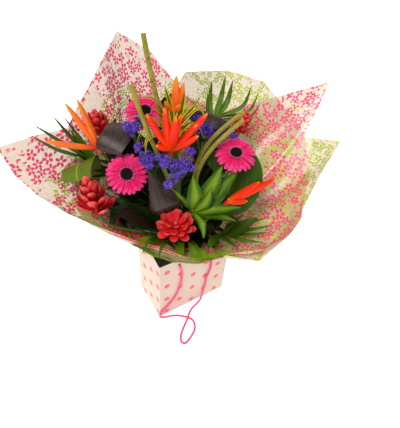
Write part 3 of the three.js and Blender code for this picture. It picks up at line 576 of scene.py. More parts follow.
# name, joint, axis, place at the tie, bracts as (tip, half width)
HELICONIAS = (
    ("heliconia_front", (-32, 12, 398), (-0.05, -0.1, 1), (0, 0),
     (((-50, 2, 495), 7), ((-38, -14, 484), 6.5), ((-24, -6, 482), 6.5), ((-70, 26, 478), 6),
      ((28, -6, 474), 6.5), ((6, -10, 460), 6.5), ((8, -14, 440), 6.5), ((-60, 14, 423), 6))),
    ("heliconia_back", (-2, 56, 440), (0, 0.1, 1), (2, 60),
     (((-7, 42, 525), 6), ((8, 42, 512), 5.5), ((-30, 38, 487), 5), ((-4, 34, 478), 5))),
    ("heliconia_left", (-128, 108, 375), (-0.4, 0.3, 0.8), (3, 120),
     (((-155, 114, 481), 5), ((-171, 133, 469), 5), ((-219, 122, 414), 5.5))),
    ("heliconia_right", (38, -72, 316), (0.5, -0.25, 0.8), (2, 300),
     (((156, -80, 345), 6.5), ((118, -74, 344), 6), ((80, -90, 322), 5.5))),
)

# name, middle, axis, place at the tie, tips of the arms
STATICES = (
    ("statice_left", (-66, 24, 392), (-0.25, -0.3, 0.9), (2, 210),
     ((-82, 46, 403), (-50, 8, 400), (-80, 14, 390))),
    ("statice_middle", (-34, -24, 386), (-0.2, -0.35, 0.9), (1, 240),
     ((-54, -10, 398), (-58, -34, 374), (-2, -12, 404), (-16, -30, 388))),
    ("statice_back_left", (-74, 76, 424), (-0.2, -0.1, 0.97), (2, 120),
     ((-83, 74, 424), (-63, 72, 439))),
    ("statice_right", (44, 22, 410), (0.1, 0, 0.95), (2, 0),
     ((30, 44, 452), (62, 30, 414))),
)
OUTER_STATICE = ("statice_outer_right", (44, 22, 410), (0.1, 0, 0.95), (3, 80),
                 ((92, 20, 408), (122, 16, 402)))

NEARLY_FLAT = ((0, -0.6), (0.4, 0.2), (1, 0.2))

# name, kind, place at the tie, face, points, width, curl
LEAVES = (
    ("cordyline_back_left", "cordyline", (2, 150), (0.95, 0.3, 0),
     ((-50, 98, 346), (-60, 112, 394), (-78, 112, 420), (-106, 86, 414), (-124, 78, 398),
      (-125, 77, 390)),
     ((0, 8), (0.2, 32), (0.45, 44), (0.7, 58), (1, 54)), NEARLY_FLAT),
    ("cordyline_back_right", "cordyline", (2, 30), (0.6, 0.75, 0),
     ((58, 44, 342), (80, 62, 396), (86, 56, 430), (74, 38, 438), (62, 26, 424)),
     ((0, 8), (0.22, 58), (0.55, 80), (0.85, 74), (1, 58)), NEARLY_FLAT),
    ("cordyline_front", "cordyline", (2, 240), (-0.5, -0.7, 0.4),
     ((-52, -30, 296), (-66, -34, 318), (-74, -18, 350), (-78, 12, 380)),
     ((0, 88), (0.3, 74), (0.65, 44), (1, 3)), ((0, 2), (0.3, 2.2), (1, 2.6))),
    ("cordyline_low", "cordyline", (3, 200), (0, 0, 1),
     ((-60, -4, 244), (-88, 4, 266), (-116, 18, 282), (-138, 34, 288)),
     ((0, 8), (0.4, 60), (0.75, 54), (1, 6)), ((0, -0.6), (1, -0.2))),
    ("aspidistra_left", "aspidistra", (3, 160), (-0.475, -0.81, 0.2),
     ((-146, 104, 304), (-156, 122, 332), (-164, 126, 350), (-174, 112, 356), (-182, 100, 348),
      (-184, 91, 337)),
     ((0, 8), (0.22, 52), (0.5, 74), (0.85, 76), (1, 66)), NEARLY_FLAT),
    ("aspidistra_right", "shade_darkened", (3, 340), (-0.4, -0.6, 0.67),
     ((56, -46, 258), (84, -60, 296), (104, -54, 338), (114, -34, 370), (126, -10, 390)),
     ((0, 10), (0.3, 58), (0.6, 64), (0.85, 44), (1, 3)), ((0, 0.4), (0.5, 1.2), (1, 1))),
    ("aspidistra_back", "shade_darkened", (3, 60), (0, -0.5, 0.6),
     ((26, 100, 340), (26, 124, 400), (22, 124, 450), (14, 106, 464)),
     ((0, 8), (0.4, 44), (0.8, 34), (1, 4)), NEARLY_FLAT),
)

# name, place at the tie, tip, axis, lean, lift
CANES = (
    ("cane_tall", (1, 120), (-47, 79, 583), (-0.1, 0.17, 0.98), 0.4, 0.5),
    ("cane_left", (1, 180), (-85, 45, 518), (-0.22, 0.08, 0.97), 0.4, 0.5),
    ("cane_right_upper", (1, 0), (112, -2, 458), (0.8, -0.16, 0.56), 0.46, 0.66),
    ("cane_right_lower", (1, 300), (101, -18, 452), (0.8, -0.12, 0.56), 0.46, 0.66),
)

UPWARD = (0, 0, 1)
NARROW = 12

# name, kind, place at the tie, top, axis, lean, stem radius, where the blades begin, and the
# blades as (place on the stem, points, width, face), with no face where a blade faces upward
SPRIGS = (
    ("dracaena_rosette", "dracaena", (2, 270), (-22, -58, 314), (-0.1, -0.3, 0.9), 0.4, 2.1, 0.2, (
        (1, ((-22, -60, 350), (-18, -44, 384)), 29, (-0.3, -0.7, 0.2)),
        (1, ((10, -58, 350), (42, -48, 388)), 31, (-0.4, -0.6, 0.4)),
        (1, ((20, -62, 340), (80, -54, 372)), 27, (-0.4, -0.4, 0.6)),
        (0.98, ((16, -70, 334), (49, -68, 346)), 26, (-0.2, -0.6, 0.8)),
        (0.97, ((6, -90, 318), (44, -108, 300)), 27, (0, -0.2, 1)),
        (0.97, ((-22, -90, 308), (-27, -108, 287)), 16, (0, -0.4, 1)),
        (0.98, ((-42, -48, 344), (-58, -36, 366)), 12, (0.3, -0.6, 0.4)),
        (0.96, ((-6, -74, 342), (8, -68, 368)), 20, (-0.3, -0.8, 0.3)),
        (0.94, ((8, -86, 326), (62, -96, 318)), 22, (-0.1, -0.3, 0.9)))),
    ("palm_right", "palm", (3, 40), (112, 84, 408), (0.5, 0.4, 0.75), 0.4, 2.1, 0.62, (
        (0.5, ((66, 84, 420), (65, 87, 458)), 9),
        (0.62, ((92, 86, 430), (90, 88, 463)), 9),
        (0.74, ((116, 114, 428), (120, 119, 472)), 10),
        (0.86, ((146, 116, 432), (156, 122, 476)), 10),
        (0.93, ((158, 108, 424), (168, 111, 470)), 11),
        (1, ((196, 98, 412), (209, 96, 455)), 11),
        (1, ((206, 86, 404), (220, 82, 445)), 10),
        (0.95, ((202, 74, 396), (216, 66, 430)), 9))),
    ("palm_left", "palm", (3, 140), (-150, 136, 352), (-0.6, 0.5, 0.6), 0.4, 2.1, 0.6, (
        (1, ((-200, 150, 376), (-238, 152, 416)), 11),
        (0.95, ((-192, 156, 390), (-226, 161, 428)), 11),
        (0.75, ((-170, 160, 394), (-190, 170, 434)), 10),
        (0.6, ((-154, 166, 388), (-170, 178, 426)), 8),
        (0.8, ((-158, 150, 380), (-168, 156, 412)), 8))),
    ("palm_front", "palm", (3, 320), (56, -66, 226), (0.7, -0.6, 0.3), 0.3, 1.8, 0.4, (
        (1, ((96, -84, 250), (136, -100, 262)), 9),
        (1, ((104, -96, 240), (146, -115, 250)), 9),
        (0.95, ((96, -100, 232), (126, -121, 244)), 9),
        (0.9, ((78, -104, 228), (107, -134, 234)), 9),
        (0.8, ((52, -92, 224), (55, -122, 230)), 8),
        (0.7, ((26, -84, 222), (8, -104, 226)), 8))),
    ("foliage_left", "leaf", (3, 220), (-62, -24, 226), (-0.8, -0.3, 0.3), 0.3, 1.8, 0.4, (
        (0.7, ((-80, -30, 242), (-106, -42, 258), (-124, -50, 240)), 9),
        (0.8, ((-70, -46, 244), (-88, -62, 254), (-104, -76, 240)), 9),
        (0.9, ((-82, -34, 262), (-112, -30, 280)), 22),
        (1, ((-88, 4, 236), (-112, 24, 262)), 20))),
    ("foliage_right", "leaf", (3, 300), (40, -74, 236), (0.5, -0.5, 0.5), 0.3, 1.8, 0.4, (
        (1, ((74, -88, 250), (114, -96, 270)), 34),
        (1, ((50, -86, 262), (76, -92, 292)), 32),
        (0.9, ((30, -96, 248), (24, -112, 262)), 22),
        (0.8, ((14, -84, 240), (-8, -98, 238)), 18))),
    ("foliage_middle", "leaf", (3, 0), (78, 4, 336), (0.6, 0.1, 0.8), 0.3, 1.8, 0.5, (
        (1, ((102, 6, 360), (122, 26, 388)), 30, (-0.4, -0.5, 0.7)),
        (0.9, ((74, 26, 352), (66, 34, 378)), 26, (-0.4, -0.6, 0.4)),
        (0.9, ((58, -18, 346), (44, -22, 372)), 26, (-0.4, -0.6, 0.4)),
        (0.6, ((92, -14, 312), (120, -16, 328)), 26, (-0.3, -0.5, 0.8)))),
    ("croton_sprig", "croton", (1, 60), (-15, 34, 432), (0.1, 0.2, 1), 0.3, 2.1, 0.2, (
        (0.9, ((-36, 40, 446), (-62, 60, 456), (-80, 84, 449)), 8),
        (0.95, ((-28, 36, 454), (-46, 58, 472)), 9),
        (1, ((0, 36, 452), (26, 42, 472)), 8),
        (0.97, ((16, 38, 452), (50, 50, 478)), 9),
        (0.85, ((-36, 30, 438), (-56, 36, 426)), 8),
        (0.9, ((-44, 24, 450), (-74, 40, 440), (-84, 40, 418)), 7),
        (0.8, ((-50, 30, 430), (-72, 24, 432), (-80, 14, 412)), 6),
        (1, ((-30, 42, 470), (-50, 50, 492), (-70, 60, 490)), 9),
        (1, ((-16, 46, 474), (-24, 52, 508)), 10, (0.2, -1, 0.3)),
        (1, ((8, 44, 474), (14, 50, 500)), 10, (-0.3, -1, 0.3)),
        (0.95, ((14, 30, 456), (30, 22, 470), (40, 14, 452)), 7),
        (0.9, ((18, 30, 440), (34, 22, 430), (42, 20, 410)), 7),
        (0.8, ((-10, 22, 430), (4, 10, 440), (20, 4, 424)), 6))),
)

# points and width of the large leaves over the film's floor, on the left, painted near black as
# painted shade
LARGE_SHADE_PAINTED = (
    (((-60, -23, 223), (-92, 24, 262), (-150, 56, 286)), 44),
    (((-56, -21, 218), (-84, 40, 276), (-128, 84, 318)), 42),
)

# place at the tie, and the (azimuth, height) of spots on the film that a strap leaf lies against
STRAPS = (
    ((2, 260), ((-96, 205), (-118, 210), (-144, 213), (-164, 216), (-182, 220), (-198, 226))),
    ((2, 230), ((-176, 226), (-158, 229), (-140, 228), (-120, 222), (-100, 214), (-84, 208))),
    ((3, 220), ((-132, 210), (-150, 217), (-166, 221), (-180, 225), (-192, 232))),
    ((3, 200), ((-178, 203), (-162, 204), (-146, 202), (-128, 200), (-106, 199))),
    ((3, 280), ((-100, 190), (-90, 200), (-72, 204), (-58, 214))),
)

# azimuth in degrees, belly (radius, height), rim (radius, height), and how much of the profile
# the pink and the lime sheet cover
TRUMPET = (
    (-171, (112, 184), (116, 239), 1, 0.96), (-147, (104, 182), (101, 244), 1, 0.96),
    (-121, (98, 182), (105, 234), 1, 0.96), (-105, (92, 183), (104, 222), 1, 0.96),
    (-90, (88, 184), (106, 214), 1, 0.96), (-75, (95, 184), (118, 222), 1, 0.96),
    (-58, (140, 184), (178, 238), 1, 0.9), (-41, (180, 187), (222, 244), 1, 0.96),
    (-33, (192, 189), (244, 260), 1, 0.96), (-26, (205, 192), (254, 268), 0.97, 1),
    (-18, (225, 198), (294, 333), 0.84, 1), (-10, (250, 205), (356, 370), 0.76, 1),
    (1, (230, 212), (372, 436), 0.8, 0.8), (5, (220, 215), (383, 461), 1, 0.8),
    (26, (190, 215), (310, 440), 0.9, 1), (42, (190, 215), (300, 450), 0.8, 1),
    (62, (170, 215), (232, 460), 0.9, 1), (80, (160, 215), (240, 500), 1, 0.75),
    (95, (160, 215), (256, 540), 1, 0.6), (102, (162, 215), (242, 516), 1, 0.66),
    (110, (165, 215), (223, 502), 1, 0.7), (117, (167, 214), (229, 466), 1, 0.75),
    (125, (170, 212), (244, 422), 1, 0.8), (132, (176, 210), (248, 396), 1, 0.84),
    (140, (165, 232), (298, 390), 1, 0.8), (149, (165, 236), (343, 390), 1, 0.62),
    (154, (160, 236), (312, 350), 1, 0.7), (158, (155, 234), (276, 318), 1, 0.74),
    (165, (145, 224), (226, 294), 1, 0.8), (172, (130, 206), (180, 272), 1, 0.9),
)
LIME_FLAP = (-58, (132, 183), (184, 206))
# long folds whose shine is painted on the film as white lines, a painted highlight: the plane they
# lie in, its offset, where they run along X, and half width
FOLDS = (
    ((-0.6908, 0.0498, -0.7213), -0.35643, (-0.04, 0.01), 0.0016),
    ((-0.6381, 0.0677, -0.767), -0.41416, (0.07, 0.18), 0.0028),
    ((-0.2709, -0.2345, -0.9336), -0.5065, (0.11, 0.31), 0.0014),
    ((-0.8907, 0.4532, -0.0357), 0.02605, (0.045, 0.066), 0.0012),
)
# the azimuth where a sheet's print begins, and how much narrower the flat print fans out
PRINT_SEAM = -98
PRINT_SPREAD = 0.82
FILM_NECK = (26.4, 159)
FILM_MOUTH = (45, 186)
FILM_BETWEEN = 1.8
TIE = {"height": 158, "width": 12, "inner": 24.1, "outer": 25.6}

# across a knot, and the length of one full twist of the cord
KNOT = 8.4
TWIST = 21
HOLES = (-42, 42)
HOLE_HEIGHT = 165
HOLE_RADIUS = 3.2
FRONT = -52.5
LIE = 2.35
HANG = FRONT - LIE - 0.2
OVER = LIE + 4.9
HANDLE = (
    (-42, FRONT - 1.2, 165), (-42, FRONT - 4.6, 162.6), (-41, FRONT - 3.4, 157),
    (-39, HANG, 148), (-37, HANG, 138), (-36, HANG, 126), (-37, HANG, 108), (-41, HANG, 86),
    (-48, HANG, 66), (-58, HANG, 49), (-70, HANG, 36), (-82, HANG, 27), (-90, HANG - 0.6, 18),
    (-91, HANG - 3, 9), (-84, HANG - 5, 4), (-74, HANG - 7, LIE), (-62, -66, LIE),
    (-51, -72, LIE), (-41, -80, LIE), (-32, -89, LIE), (-27, -100, LIE), (-29, -112, LIE),
    (-38, -125, LIE), (-51, -133, LIE), (-63, -139, LIE), (-72, -141, LIE), (-77, -135, LIE),
    (-75, -127, LIE), (-68, -117, LIE), (-57, -107, LIE + 1), (-45, -98, 5.6), (-34, -89, OVER),
    (-23, -79, 5.6), (-11, -71, LIE + 0.6), (3, -66, LIE), (15, -62, 4), (23, -58, 14),
    (28, HANG, 30), (32, HANG, 56), (32, HANG, 74), (38, HANG, 92), (42, HANG, 114),
    (41, HANG, 134), (41, HANG, 148), (42, FRONT - 3.4, 157), (42, FRONT - 4.6, 162.6),
    (42, FRONT - 1.2, 165),
)


def at_tie(place):
    """Where a stem stands in the tie, from its ring and its angle."""
    ring, degrees = place
    turn = math.radians(degrees)
    return np.array([ring * STEM_SPACING * math.cos(turn), ring * STEM_SPACING * math.sin(turn), 0])


def stem_line(place, top, axis, lean=0.45, lift=0.3):
    """A stem's bent part, from just over the tie to its top."""
    foot = at_tie(place)
    top = np.array(top, float)
    axis = unit(axis)
    start = foot + (0, 0, STEM_TOP)
    reach = np.linalg.norm(top - start)
    rise = unit(foot * 0.012 + (0, 0, 1))
    return Line.bent(start, start + rise * reach * lift, top - axis * reach * lean, top)


def whole_stem(place, bend):
    """The straight foot of a stem and its bent part, as one line."""
    foot = at_tie(place) + (0, 0, STEM_FOOT)
    straight = foot + (bend.points[0] - foot) * np.linspace(0, 0.97, 12)[:, None]
    return Line(np.vstack([straight, bend.points]))


# ------------------------------------------------------------------ finishes

def dim(colour, share):
    """A colour made darker, or lighter by a share over 1."""
    return tuple(min(1, c * share) for c in colour)


def dots_on(paint, spacing, across):
    """A staggered lattice of round dots: 1 on a dot."""
    u, v, _ = paint.print().split()
    column, row = (2 * TO_PRINT * step for step in spacing)
    a, b = u / column, v / row
    nearest = None
    for shift in (0, 0.5):
        x = (a - shift).wrap() * column
        y = (b - shift).wrap() * row
        far = x * x + y * y
        nearest = far if nearest is None else nearest.low(far)
    radius = across / 2 * TO_PRINT
    return (nearest ** 0.5).rise(radius * 0.93, radius * 1.04, 1, 0)


def card_paint(colours, bag):
    """Printed card with a dry paper grain."""
    paint = Paint("printed_card", Specular_IOR_Level=0.35)
    grain = paint.noise(900, 4)
    cloud = paint.noise(9, 2)
    base = paint.mix(cloud.rise(0.3, 0.7), colours.card, dim(colours.card, 0.93))
    ink = dots_on(paint, (bag.dot_column, bag.dot_row), bag.dot) * grain.rise(0.18, 0.34, 0.8, 1)
    return paint.set(Base_Color=paint.mix(ink, base, colours.dots), Roughness=0.62 - ink * 0.12,
                     Normal=paint.bump(grain + paint.noise(60, 2) * 0.6, 0.00025, 0.5))


def plain_card_paint(colours):
    """The unprinted inside of the bag."""
    paint = Paint("plain_card", Roughness=0.75)
    grain = paint.noise(700, 4)
    base = paint.mix(grain, dim(colours.card, 0.86), dim(colours.card, 0.95))
    return paint.set(Base_Color=base, Normal=paint.bump(grain, 0.0003, 0.5))


def blossoms(paint, uv, cell):
    """Five-petalled blossoms on a loose lattice: 1 on a petal. Also each blossom's own place."""
    scaled = paint.vector("MULTIPLY", uv, (1 / cell, 1 / cell, 0))
    cells = paint.add("ShaderNodeTexVoronoi", {"voronoi_dimensions": "2D"},
                      {"Vector": scaled, "Scale": 1, "Randomness": 0.45}, output="Position")
    luck = cells.out("Color").split()
    x, y, _ = paint.vector("SUBTRACT", scaled, cells).split()
    far = (x * x + y * y) ** 0.5 / luck[0].rise(0, 1, 0.46, 0.56)
    angle = y.arctan2(x) / (2 * math.pi) + luck[1]
    swing = (angle * 5).wrap() * (2 * math.pi / 5)
    along = (far * swing.cos() - 0.6) / 0.41
    side = far * swing.sin() / 0.265
    return (along * along + side * side).rise(0.8, 1.08, 1, 0), cells, luck[2]


def sprays(paint, uv, cell, patch, threshold, turn):
    """Whole blossoms where a slow noise lets a spray grow, and loose petals round them."""
    turned = paint.vector("ADD", uv, (turn, turn * 0.7, 0))
    mask, cells, luck = blossoms(paint, turned, cell)
    centre = paint.vector("MULTIPLY", cells, (cell, cell, 0))
    grown = paint.noise(1 / patch, 1.5, vector=centre) > threshold + luck * 0.05
    loose = paint.vector("MULTIPLY", turned, (2.6 / cell, 1.9 / cell, 0))
    dots = paint.add("ShaderNodeTexVoronoi", {"voronoi_dimensions": "2D"},
                     {"Vector": loose, "Scale": 1, "Randomness": 0.9}, output="Distance")
    edge = paint.noise(1 / patch, 1.5, vector=turned)
    near = edge.rise(threshold - 0.05, threshold - 0.02) * edge.rise(
        threshold + 0.02, threshold + 0.05, 1, 0)
    return (mask * grown).high(dots.rise(0.26, 0.32, 1, 0) * near)


# the white painted along the film's creases and folds: painted highlight
PAINTED_GLARE_WHITE = (0.98, 0.97, 0.95)


def crease_glare_lines(paint, place):
    """How strongly the fine creases and the long folds of the film shine, as a painted highlight that
    whitens their colour.
    """
    creases = paint.add("ShaderNodeTexVoronoi", {"feature": "DISTANCE_TO_EDGE"},
                        {"Vector": place, "Scale": 7.0, "Randomness": 1}, output="Distance")
    shine = creases.rise(0, 0.014, 0.6, 0)
    x, *_ = place.split()
    for way, offset, (start, end), half in FOLDS:
        off = paint.vector("DOT_PRODUCT", place, way, output="Value") - offset
        line = off.abs().rise(half * 0.6, half, 1, 0) * (x > start) * (x < end)
        shine = shine.high(line * 2)
    return shine


def film_paint(name, colours, film, inks, turn, threshold):
    """Glossy cream film with sprays of blossoms printed on it in one or two inks."""
    paint = Paint(name, Specular_IOR_Level=0.3, Coat_Weight=0.1, Coat_Roughness=0.12)
    place = paint.place()
    x, y, z = place.split()
    reach = (x * x + y * y) ** 0.5
    shine = crease_glare_lines(paint, place)
    crinkle = paint.noise(16, 3, stretch=(1, 1, 0.5))
    # the film's colour is whitened along the creases and folds: painted highlight
    base = paint.mix(shine * 0.5, colours.film, PAINTED_GLARE_WHITE)
    # low on the left, both prints show through each other in the gathers; there the film is painted
    # dark crimson, partly the layered print and partly painted shade
    gathers_print_and_shade = reach.rise(0.13, 0.17, 1, 0) * x.rise(-0.08, -0.05, 1, 0)
    both = len(inks) > 1
    ink = None
    for number, (colour_of, lime) in enumerate(inks):
        if not lime:
            bias = (reach.rise(0.1, 0.19, -0.25, 0)
                    + x.rise(0, 0.1, 0, -0.05) * reach.rise(0.24, 0.3, 1.2, 1)
                    - gathers_print_and_shade * 0.3)
        elif both:
            bias = (reach + z * 0.25 + x.rise(0, 0.25, 0, -0.05)).rise(0.3, 0.34, -0.3, 0.2)
        else:
            bias = reach.rise(0.2, 0.26, 0.07, 0) * z.rise(0.215, 0.24)
        blossom = film.blossom * TO_PRINT * (0.8 if lime else 1)
        printed = sprays(paint, paint.print(), blossom, film.spray * TO_PRINT, bias + threshold,
                         turn + 3.7 * number)
        base = paint.mix(printed, base, colour_of)
        ink = printed if ink is None else ink.high(printed)
    if both:
        # the dark crimson in the gathers: partly layered print, partly painted shade
        gathers_print_and_shade = gathers_print_and_shade * z.rise(0.235, 0.262, 0.85, 0)
        base, ink = paint.mix(gathers_print_and_shade, base, seen(215, 24, 56)), ink.high(gathers_print_and_shade)
    # the low front is nearly clear
    front = (z.rise(0.228, 0.24, 1, 0) * reach.rise(0.08, 0.09)
             * (x * 0.6 + y * 0.8).rise(-0.072, -0.05, 1, 0) * x.rise(-0.01, 0.02, 1, 0))
    bare = (1 - math.sqrt(film.see_through)) * (shine * 0.25 + 1)
    return paint.set(Base_Color=base, Alpha=(ink * (0.95 - bare) + bare) * (1 - front * 0.86),
                     Roughness=crinkle.rise(0.3, 0.75, 0.12, 0.26),
                     Normal=paint.bump(crinkle + shine * 0.2, 0.0035, 0.6))


def petal_paint(name, base, root, tip, ridges, gloss=0.45, late=0.6):
    """A petal or bract: darker at its root, ridged along its length."""
    paint = Paint(name, Specular_IOR_Level=0.22)
    u, *_ = paint.print().split()
    tone, run = paint.kept("tone"), paint.kept("run")
    ridge = (u * (ridges * 2 * math.pi)).sin()
    fleck = paint.noise(350, 3)
    body = paint.mix(run.rise(0, 0.4), root, base)
    body = paint.mix(run.rise(late, 1), body, tip)
    body = paint.mix(ridge.rise(-1, 1, 0, 0.22), body, dim(base, 0.72))
    body = paint.mix(tone.rise(0, 1, 0, 0.3), body, dim(base, 0.6))
    return paint.set(Base_Color=body, Roughness=fleck.rise(0.3, 0.7, gloss - 0.08, gloss + 0.1),
                     Normal=paint.bump(ridge * 0.5 + fleck * 0.3, 0.0006, 0.6))


def leaf_paint(name, base, vein, *, lines=34.0, margin=None, stripe=0, gloss=0.34, under=0.75,
               rib=0.75, strong=0.32, shine=0.18, painted_gleam=0):
    """A leaf with veins that run along it, a paler midrib, and its own shade of green; lighter
    streaks along its fine lines, where asked for, are a painted highlight.
    """
    paint = Paint(name, Specular_IOR_Level=shine)
    u, *_ = paint.print().split()
    tone = paint.kept("tone")
    across = (u - 0.5) * 2
    veins = ((across.abs() ** 0.85) * (lines * math.pi)).sin()
    cloud = paint.noise(26, 3)
    fine = paint.noise(1, 3, vector=paint.print(), stretch=(lines * 1.3, 0.6, 0))
    body = paint.mix(cloud.rise(0.3, 0.7), base, dim(base, under))
    body = paint.mix(veins.rise(0.2, 1, 0, strong) * fine.rise(0.3, 0.7, 0.3, 1.6), body, vein)
    # lighter streaks along the fine lines: painted highlight
    if painted_gleam:
        body = paint.mix(fine.rise(0.5, 0.72, 0, painted_gleam), body, dim(base, 3.4))
    if stripe:
        band = across.abs() + cloud * 0.5 + veins * 0.08
        body = paint.mix(band.rise(0.45, 0.95, stripe, 0), body, vein)
    body = paint.mix(across.abs().rise(0.02, 0.07, rib, 0), body, vein)
    if margin:
        wander = cloud.rise(0.2, 0.8, -0.16, 0.16)
        body = paint.mix((across.abs() + wander).rise(0.42, 0.58), body, margin)
    # darker by the piece's tone: random on the sprigs and low leaves, painted shade on the broad
    # leaves that face away from the light
    body = paint.mix(tone.rise(0, 1, 0, 0.55), body, dim(base, 0.45))
    return paint.set(Base_Color=body, Roughness=fine.rise(0.3, 0.7, gloss - 0.06, gloss + 0.12),
                     Normal=paint.bump(veins * 0.35 + fine * 0.4, 0.0005, 0.55))


def stalk_paint(name, base, mark, gloss=0.5, speck=0.62):
    """A stem with lengthwise lines and dark specks."""
    paint = Paint(name, Specular_IOR_Level=0.4)
    u, *_ = paint.print().split()
    lines = (u * (8 * 2 * math.pi)).sin()
    cloud = paint.noise(45, 4)
    specks = paint.noise(420, 2, stretch=(1, 1, 0.35))
    body = paint.mix(cloud.rise(0.25, 0.75), base, dim(base, 0.68))
    body = paint.mix(lines.rise(-1, 1, 0, 0.25), body, dim(base, 1.25))
    body = paint.mix(specks.rise(speck, speck + 0.06), body, mark)
    return paint.set(Base_Color=body, Roughness=cloud.rise(0.2, 0.8, gloss - 0.1, gloss + 0.1),
                     Normal=paint.bump(lines * 0.4 + specks * 0.4, 0.0004, 0.6))


def cord_paint(colours):
    """Soft twisted cotton cord: fine fibres that run along its strands."""
    paint = Paint("twisted_cord", Roughness=0.8, Sheen_Weight=0.35, Specular_IOR_Level=0.2)
    u, v, _ = paint.print().split()
    fibres = ((u * 14 + v * 60) * (2 * math.pi)).sin()
    cloud = paint.noise(160, 3)
    fluff = tuple(min(1, c * 1.25 + 0.03) for c in colours.cord)
    body = paint.mix(fibres.rise(-1, 1, 0, 0.35), colours.cord, dim(colours.cord, 0.7))
    body = paint.mix(cloud.rise(0.35, 0.7, 0, 0.4), body, fluff)
    return paint.set(Base_Color=body, Normal=paint.bump(fibres + cloud, 0.0003, 0.6))


def eye_paint():
    """The dark eye of a gerbera: near black within, wine red and dusty pink at its rim."""
    paint = Paint("gerbera_eye", Roughness=0.7, Specular_IOR_Level=0.3)
    tone = paint.kept("tone")
    body = paint.ramp(tone, (0, seen(40, 30, 24)), (0.2, seen(18, 6, 10)), (0.56, seen(30, 4, 14)),
                      (0.7, seen(130, 16, 66)), (1, seen(240, 130, 170)))
    return paint.set(Base_Color=body, Normal=paint.bump(paint.noise(900, 2), 0.0003, 0.5))


def statice_paint(colours):
    """Papery violet florets with pale throats."""
    paint = Paint("statice_florets", Roughness=0.75, Sheen_Weight=0.2, Specular_IOR_Level=0.25)
    body = paint.mix(paint.kept("tone"), dim(colours.statice, 0.45), dim(colours.statice, 1.5))
    throat = paint.kept("run").rise(0, 0.4, 0.8, 0)
    return paint.set(Base_Color=paint.mix(throat, body, seen(216, 196, 240)))


def water_paint():
    """The clear pack of water in the bag."""
    paint = Paint("water_pack", Roughness=0.08, IOR=1.36, Coat_Weight=0.3)
    wave = paint.noise(30, 3)
    body = paint.mix(wave, seen(206, 222, 216), seen(226, 234, 228))
    return paint.set(Base_Color=body, Alpha=wave.rise(0.2, 0.8, 0.42, 0.55),
                     Normal=paint.bump(wave, 0.004, 0.4))


def raffia_paint():
    """Dry raffia with long fibres."""
    paint = Paint("raffia", Roughness=0.75, Specular_IOR_Level=0.25)
    u, *_ = paint.print().split()
    fibre = ((u * 9) * (2 * math.pi)).sin() + paint.noise(500, 3) * 2
    body = paint.mix(fibre.rise(-1, 2.4), seen(176, 148, 92), seen(222, 200, 142))
    return paint.set(Base_Color=body, Normal=paint.bump(fibre, 0.0003, 0.6))


def all_paints():
    """Every finish of the bouquet, made once from the panel's colours."""
    scene = bpy.context.scene
    colours, bag, film = scene.bouquet_colours, scene.bouquet_bag, scene.bouquet_film
    flame, green = colours.heliconia, colours.leaf
    lime, pink = (colours.lime_print, True), (colours.pink_print, False)
    pale = tuple(0.86 * c + d for c, d in zip(flame, seen(140, 112, 40)))
    return {
        "card": card_paint(colours, bag),
        "plain_card": plain_card_paint(colours),
        "film_pink": film_paint("film_pink", colours, film, (lime, pink), 2.0, 0.475),
        "film_lime": film_paint("film_lime", colours, film, (lime,), 5.3, 0.44),
        "gerbera": petal_paint("gerbera_petals", colours.gerbera, seen(190, 6, 80),
                               seen(255, 70, 150), 3.0),
        "eye": eye_paint(),
        # the ginger's pale coral tip colour is a painted highlight on the bracts
        "ginger": petal_paint("ginger_bracts", colours.ginger, seen(130, 6, 10),
                              seen(247, 100, 92), 4.0, 0.32, late=0.66),
        "heliconia": petal_paint("heliconia_bracts", flame, seen(255, 96, 2), seen(255, 150, 10),
                                 3.0, 0.34, late=0.88),
        "pale_heliconia": petal_paint("pale_heliconia_bracts", pale, flame, seen(255, 150, 10),
                                      3.0, 0.36, late=0.7),
        "statice": statice_paint(colours),
        "cordyline": leaf_paint("cordyline_leaves", colours.cordyline, seen(112, 88, 74),
                                lines=26, gloss=0.28, rib=0.1, strong=0.2, under=0.8, shine=0.42,
                                painted_gleam=0.6),
        "aspidistra": leaf_paint("aspidistra_leaves", colours.aspidistra,
                                 seen(150, 165, 50), lines=24, gloss=0.32, strong=0.18),
        "dracaena": leaf_paint("dracaena_leaves", colours.dracaena, seen(128, 156, 26),
                               lines=12, stripe=0.8, gloss=0.34, strong=0.12, rib=0.5),
        "strap": leaf_paint("strap_leaves", seen(118, 160, 16), seen(160, 190, 50), lines=10,
                            strong=0.3, under=0.85),
        "leaf": leaf_paint("foliage_leaves", green, seen(84, 118, 22), lines=12, gloss=0.36),
        # a near-black green for the leaves that fill the gaps between the stems: painted shade
        "shade_painted_leaf": leaf_paint("shaded_leaves", dim(green, 0.25), seen(36, 54, 10),
                                lines=8, gloss=0.4),
        "palm": leaf_paint("palm_fronds", dim(green, 1.45), seen(120, 150, 40), lines=4),
        "croton": leaf_paint("croton_leaves", seen(64, 104, 8), seen(150, 160, 20), lines=6,
                             margin=seen(226, 200, 30)),
        "cane": stalk_paint("canes", colours.cane, seen(92, 62, 26)),
        "stem": stalk_paint("flower_stems", seen(84, 122, 46), seen(52, 74, 28), speck=0.7),
        "cord": cord_paint(colours),
        "water": water_paint(),
        "raffia": raffia_paint(),
    }


PAINTS = {}


def paint(name):
    """A finish by its name."""
    if not PAINTS:
        PAINTS.update(all_paints())
    return PAINTS[name]


# ------------------------------------------------------------------ geometry node trees

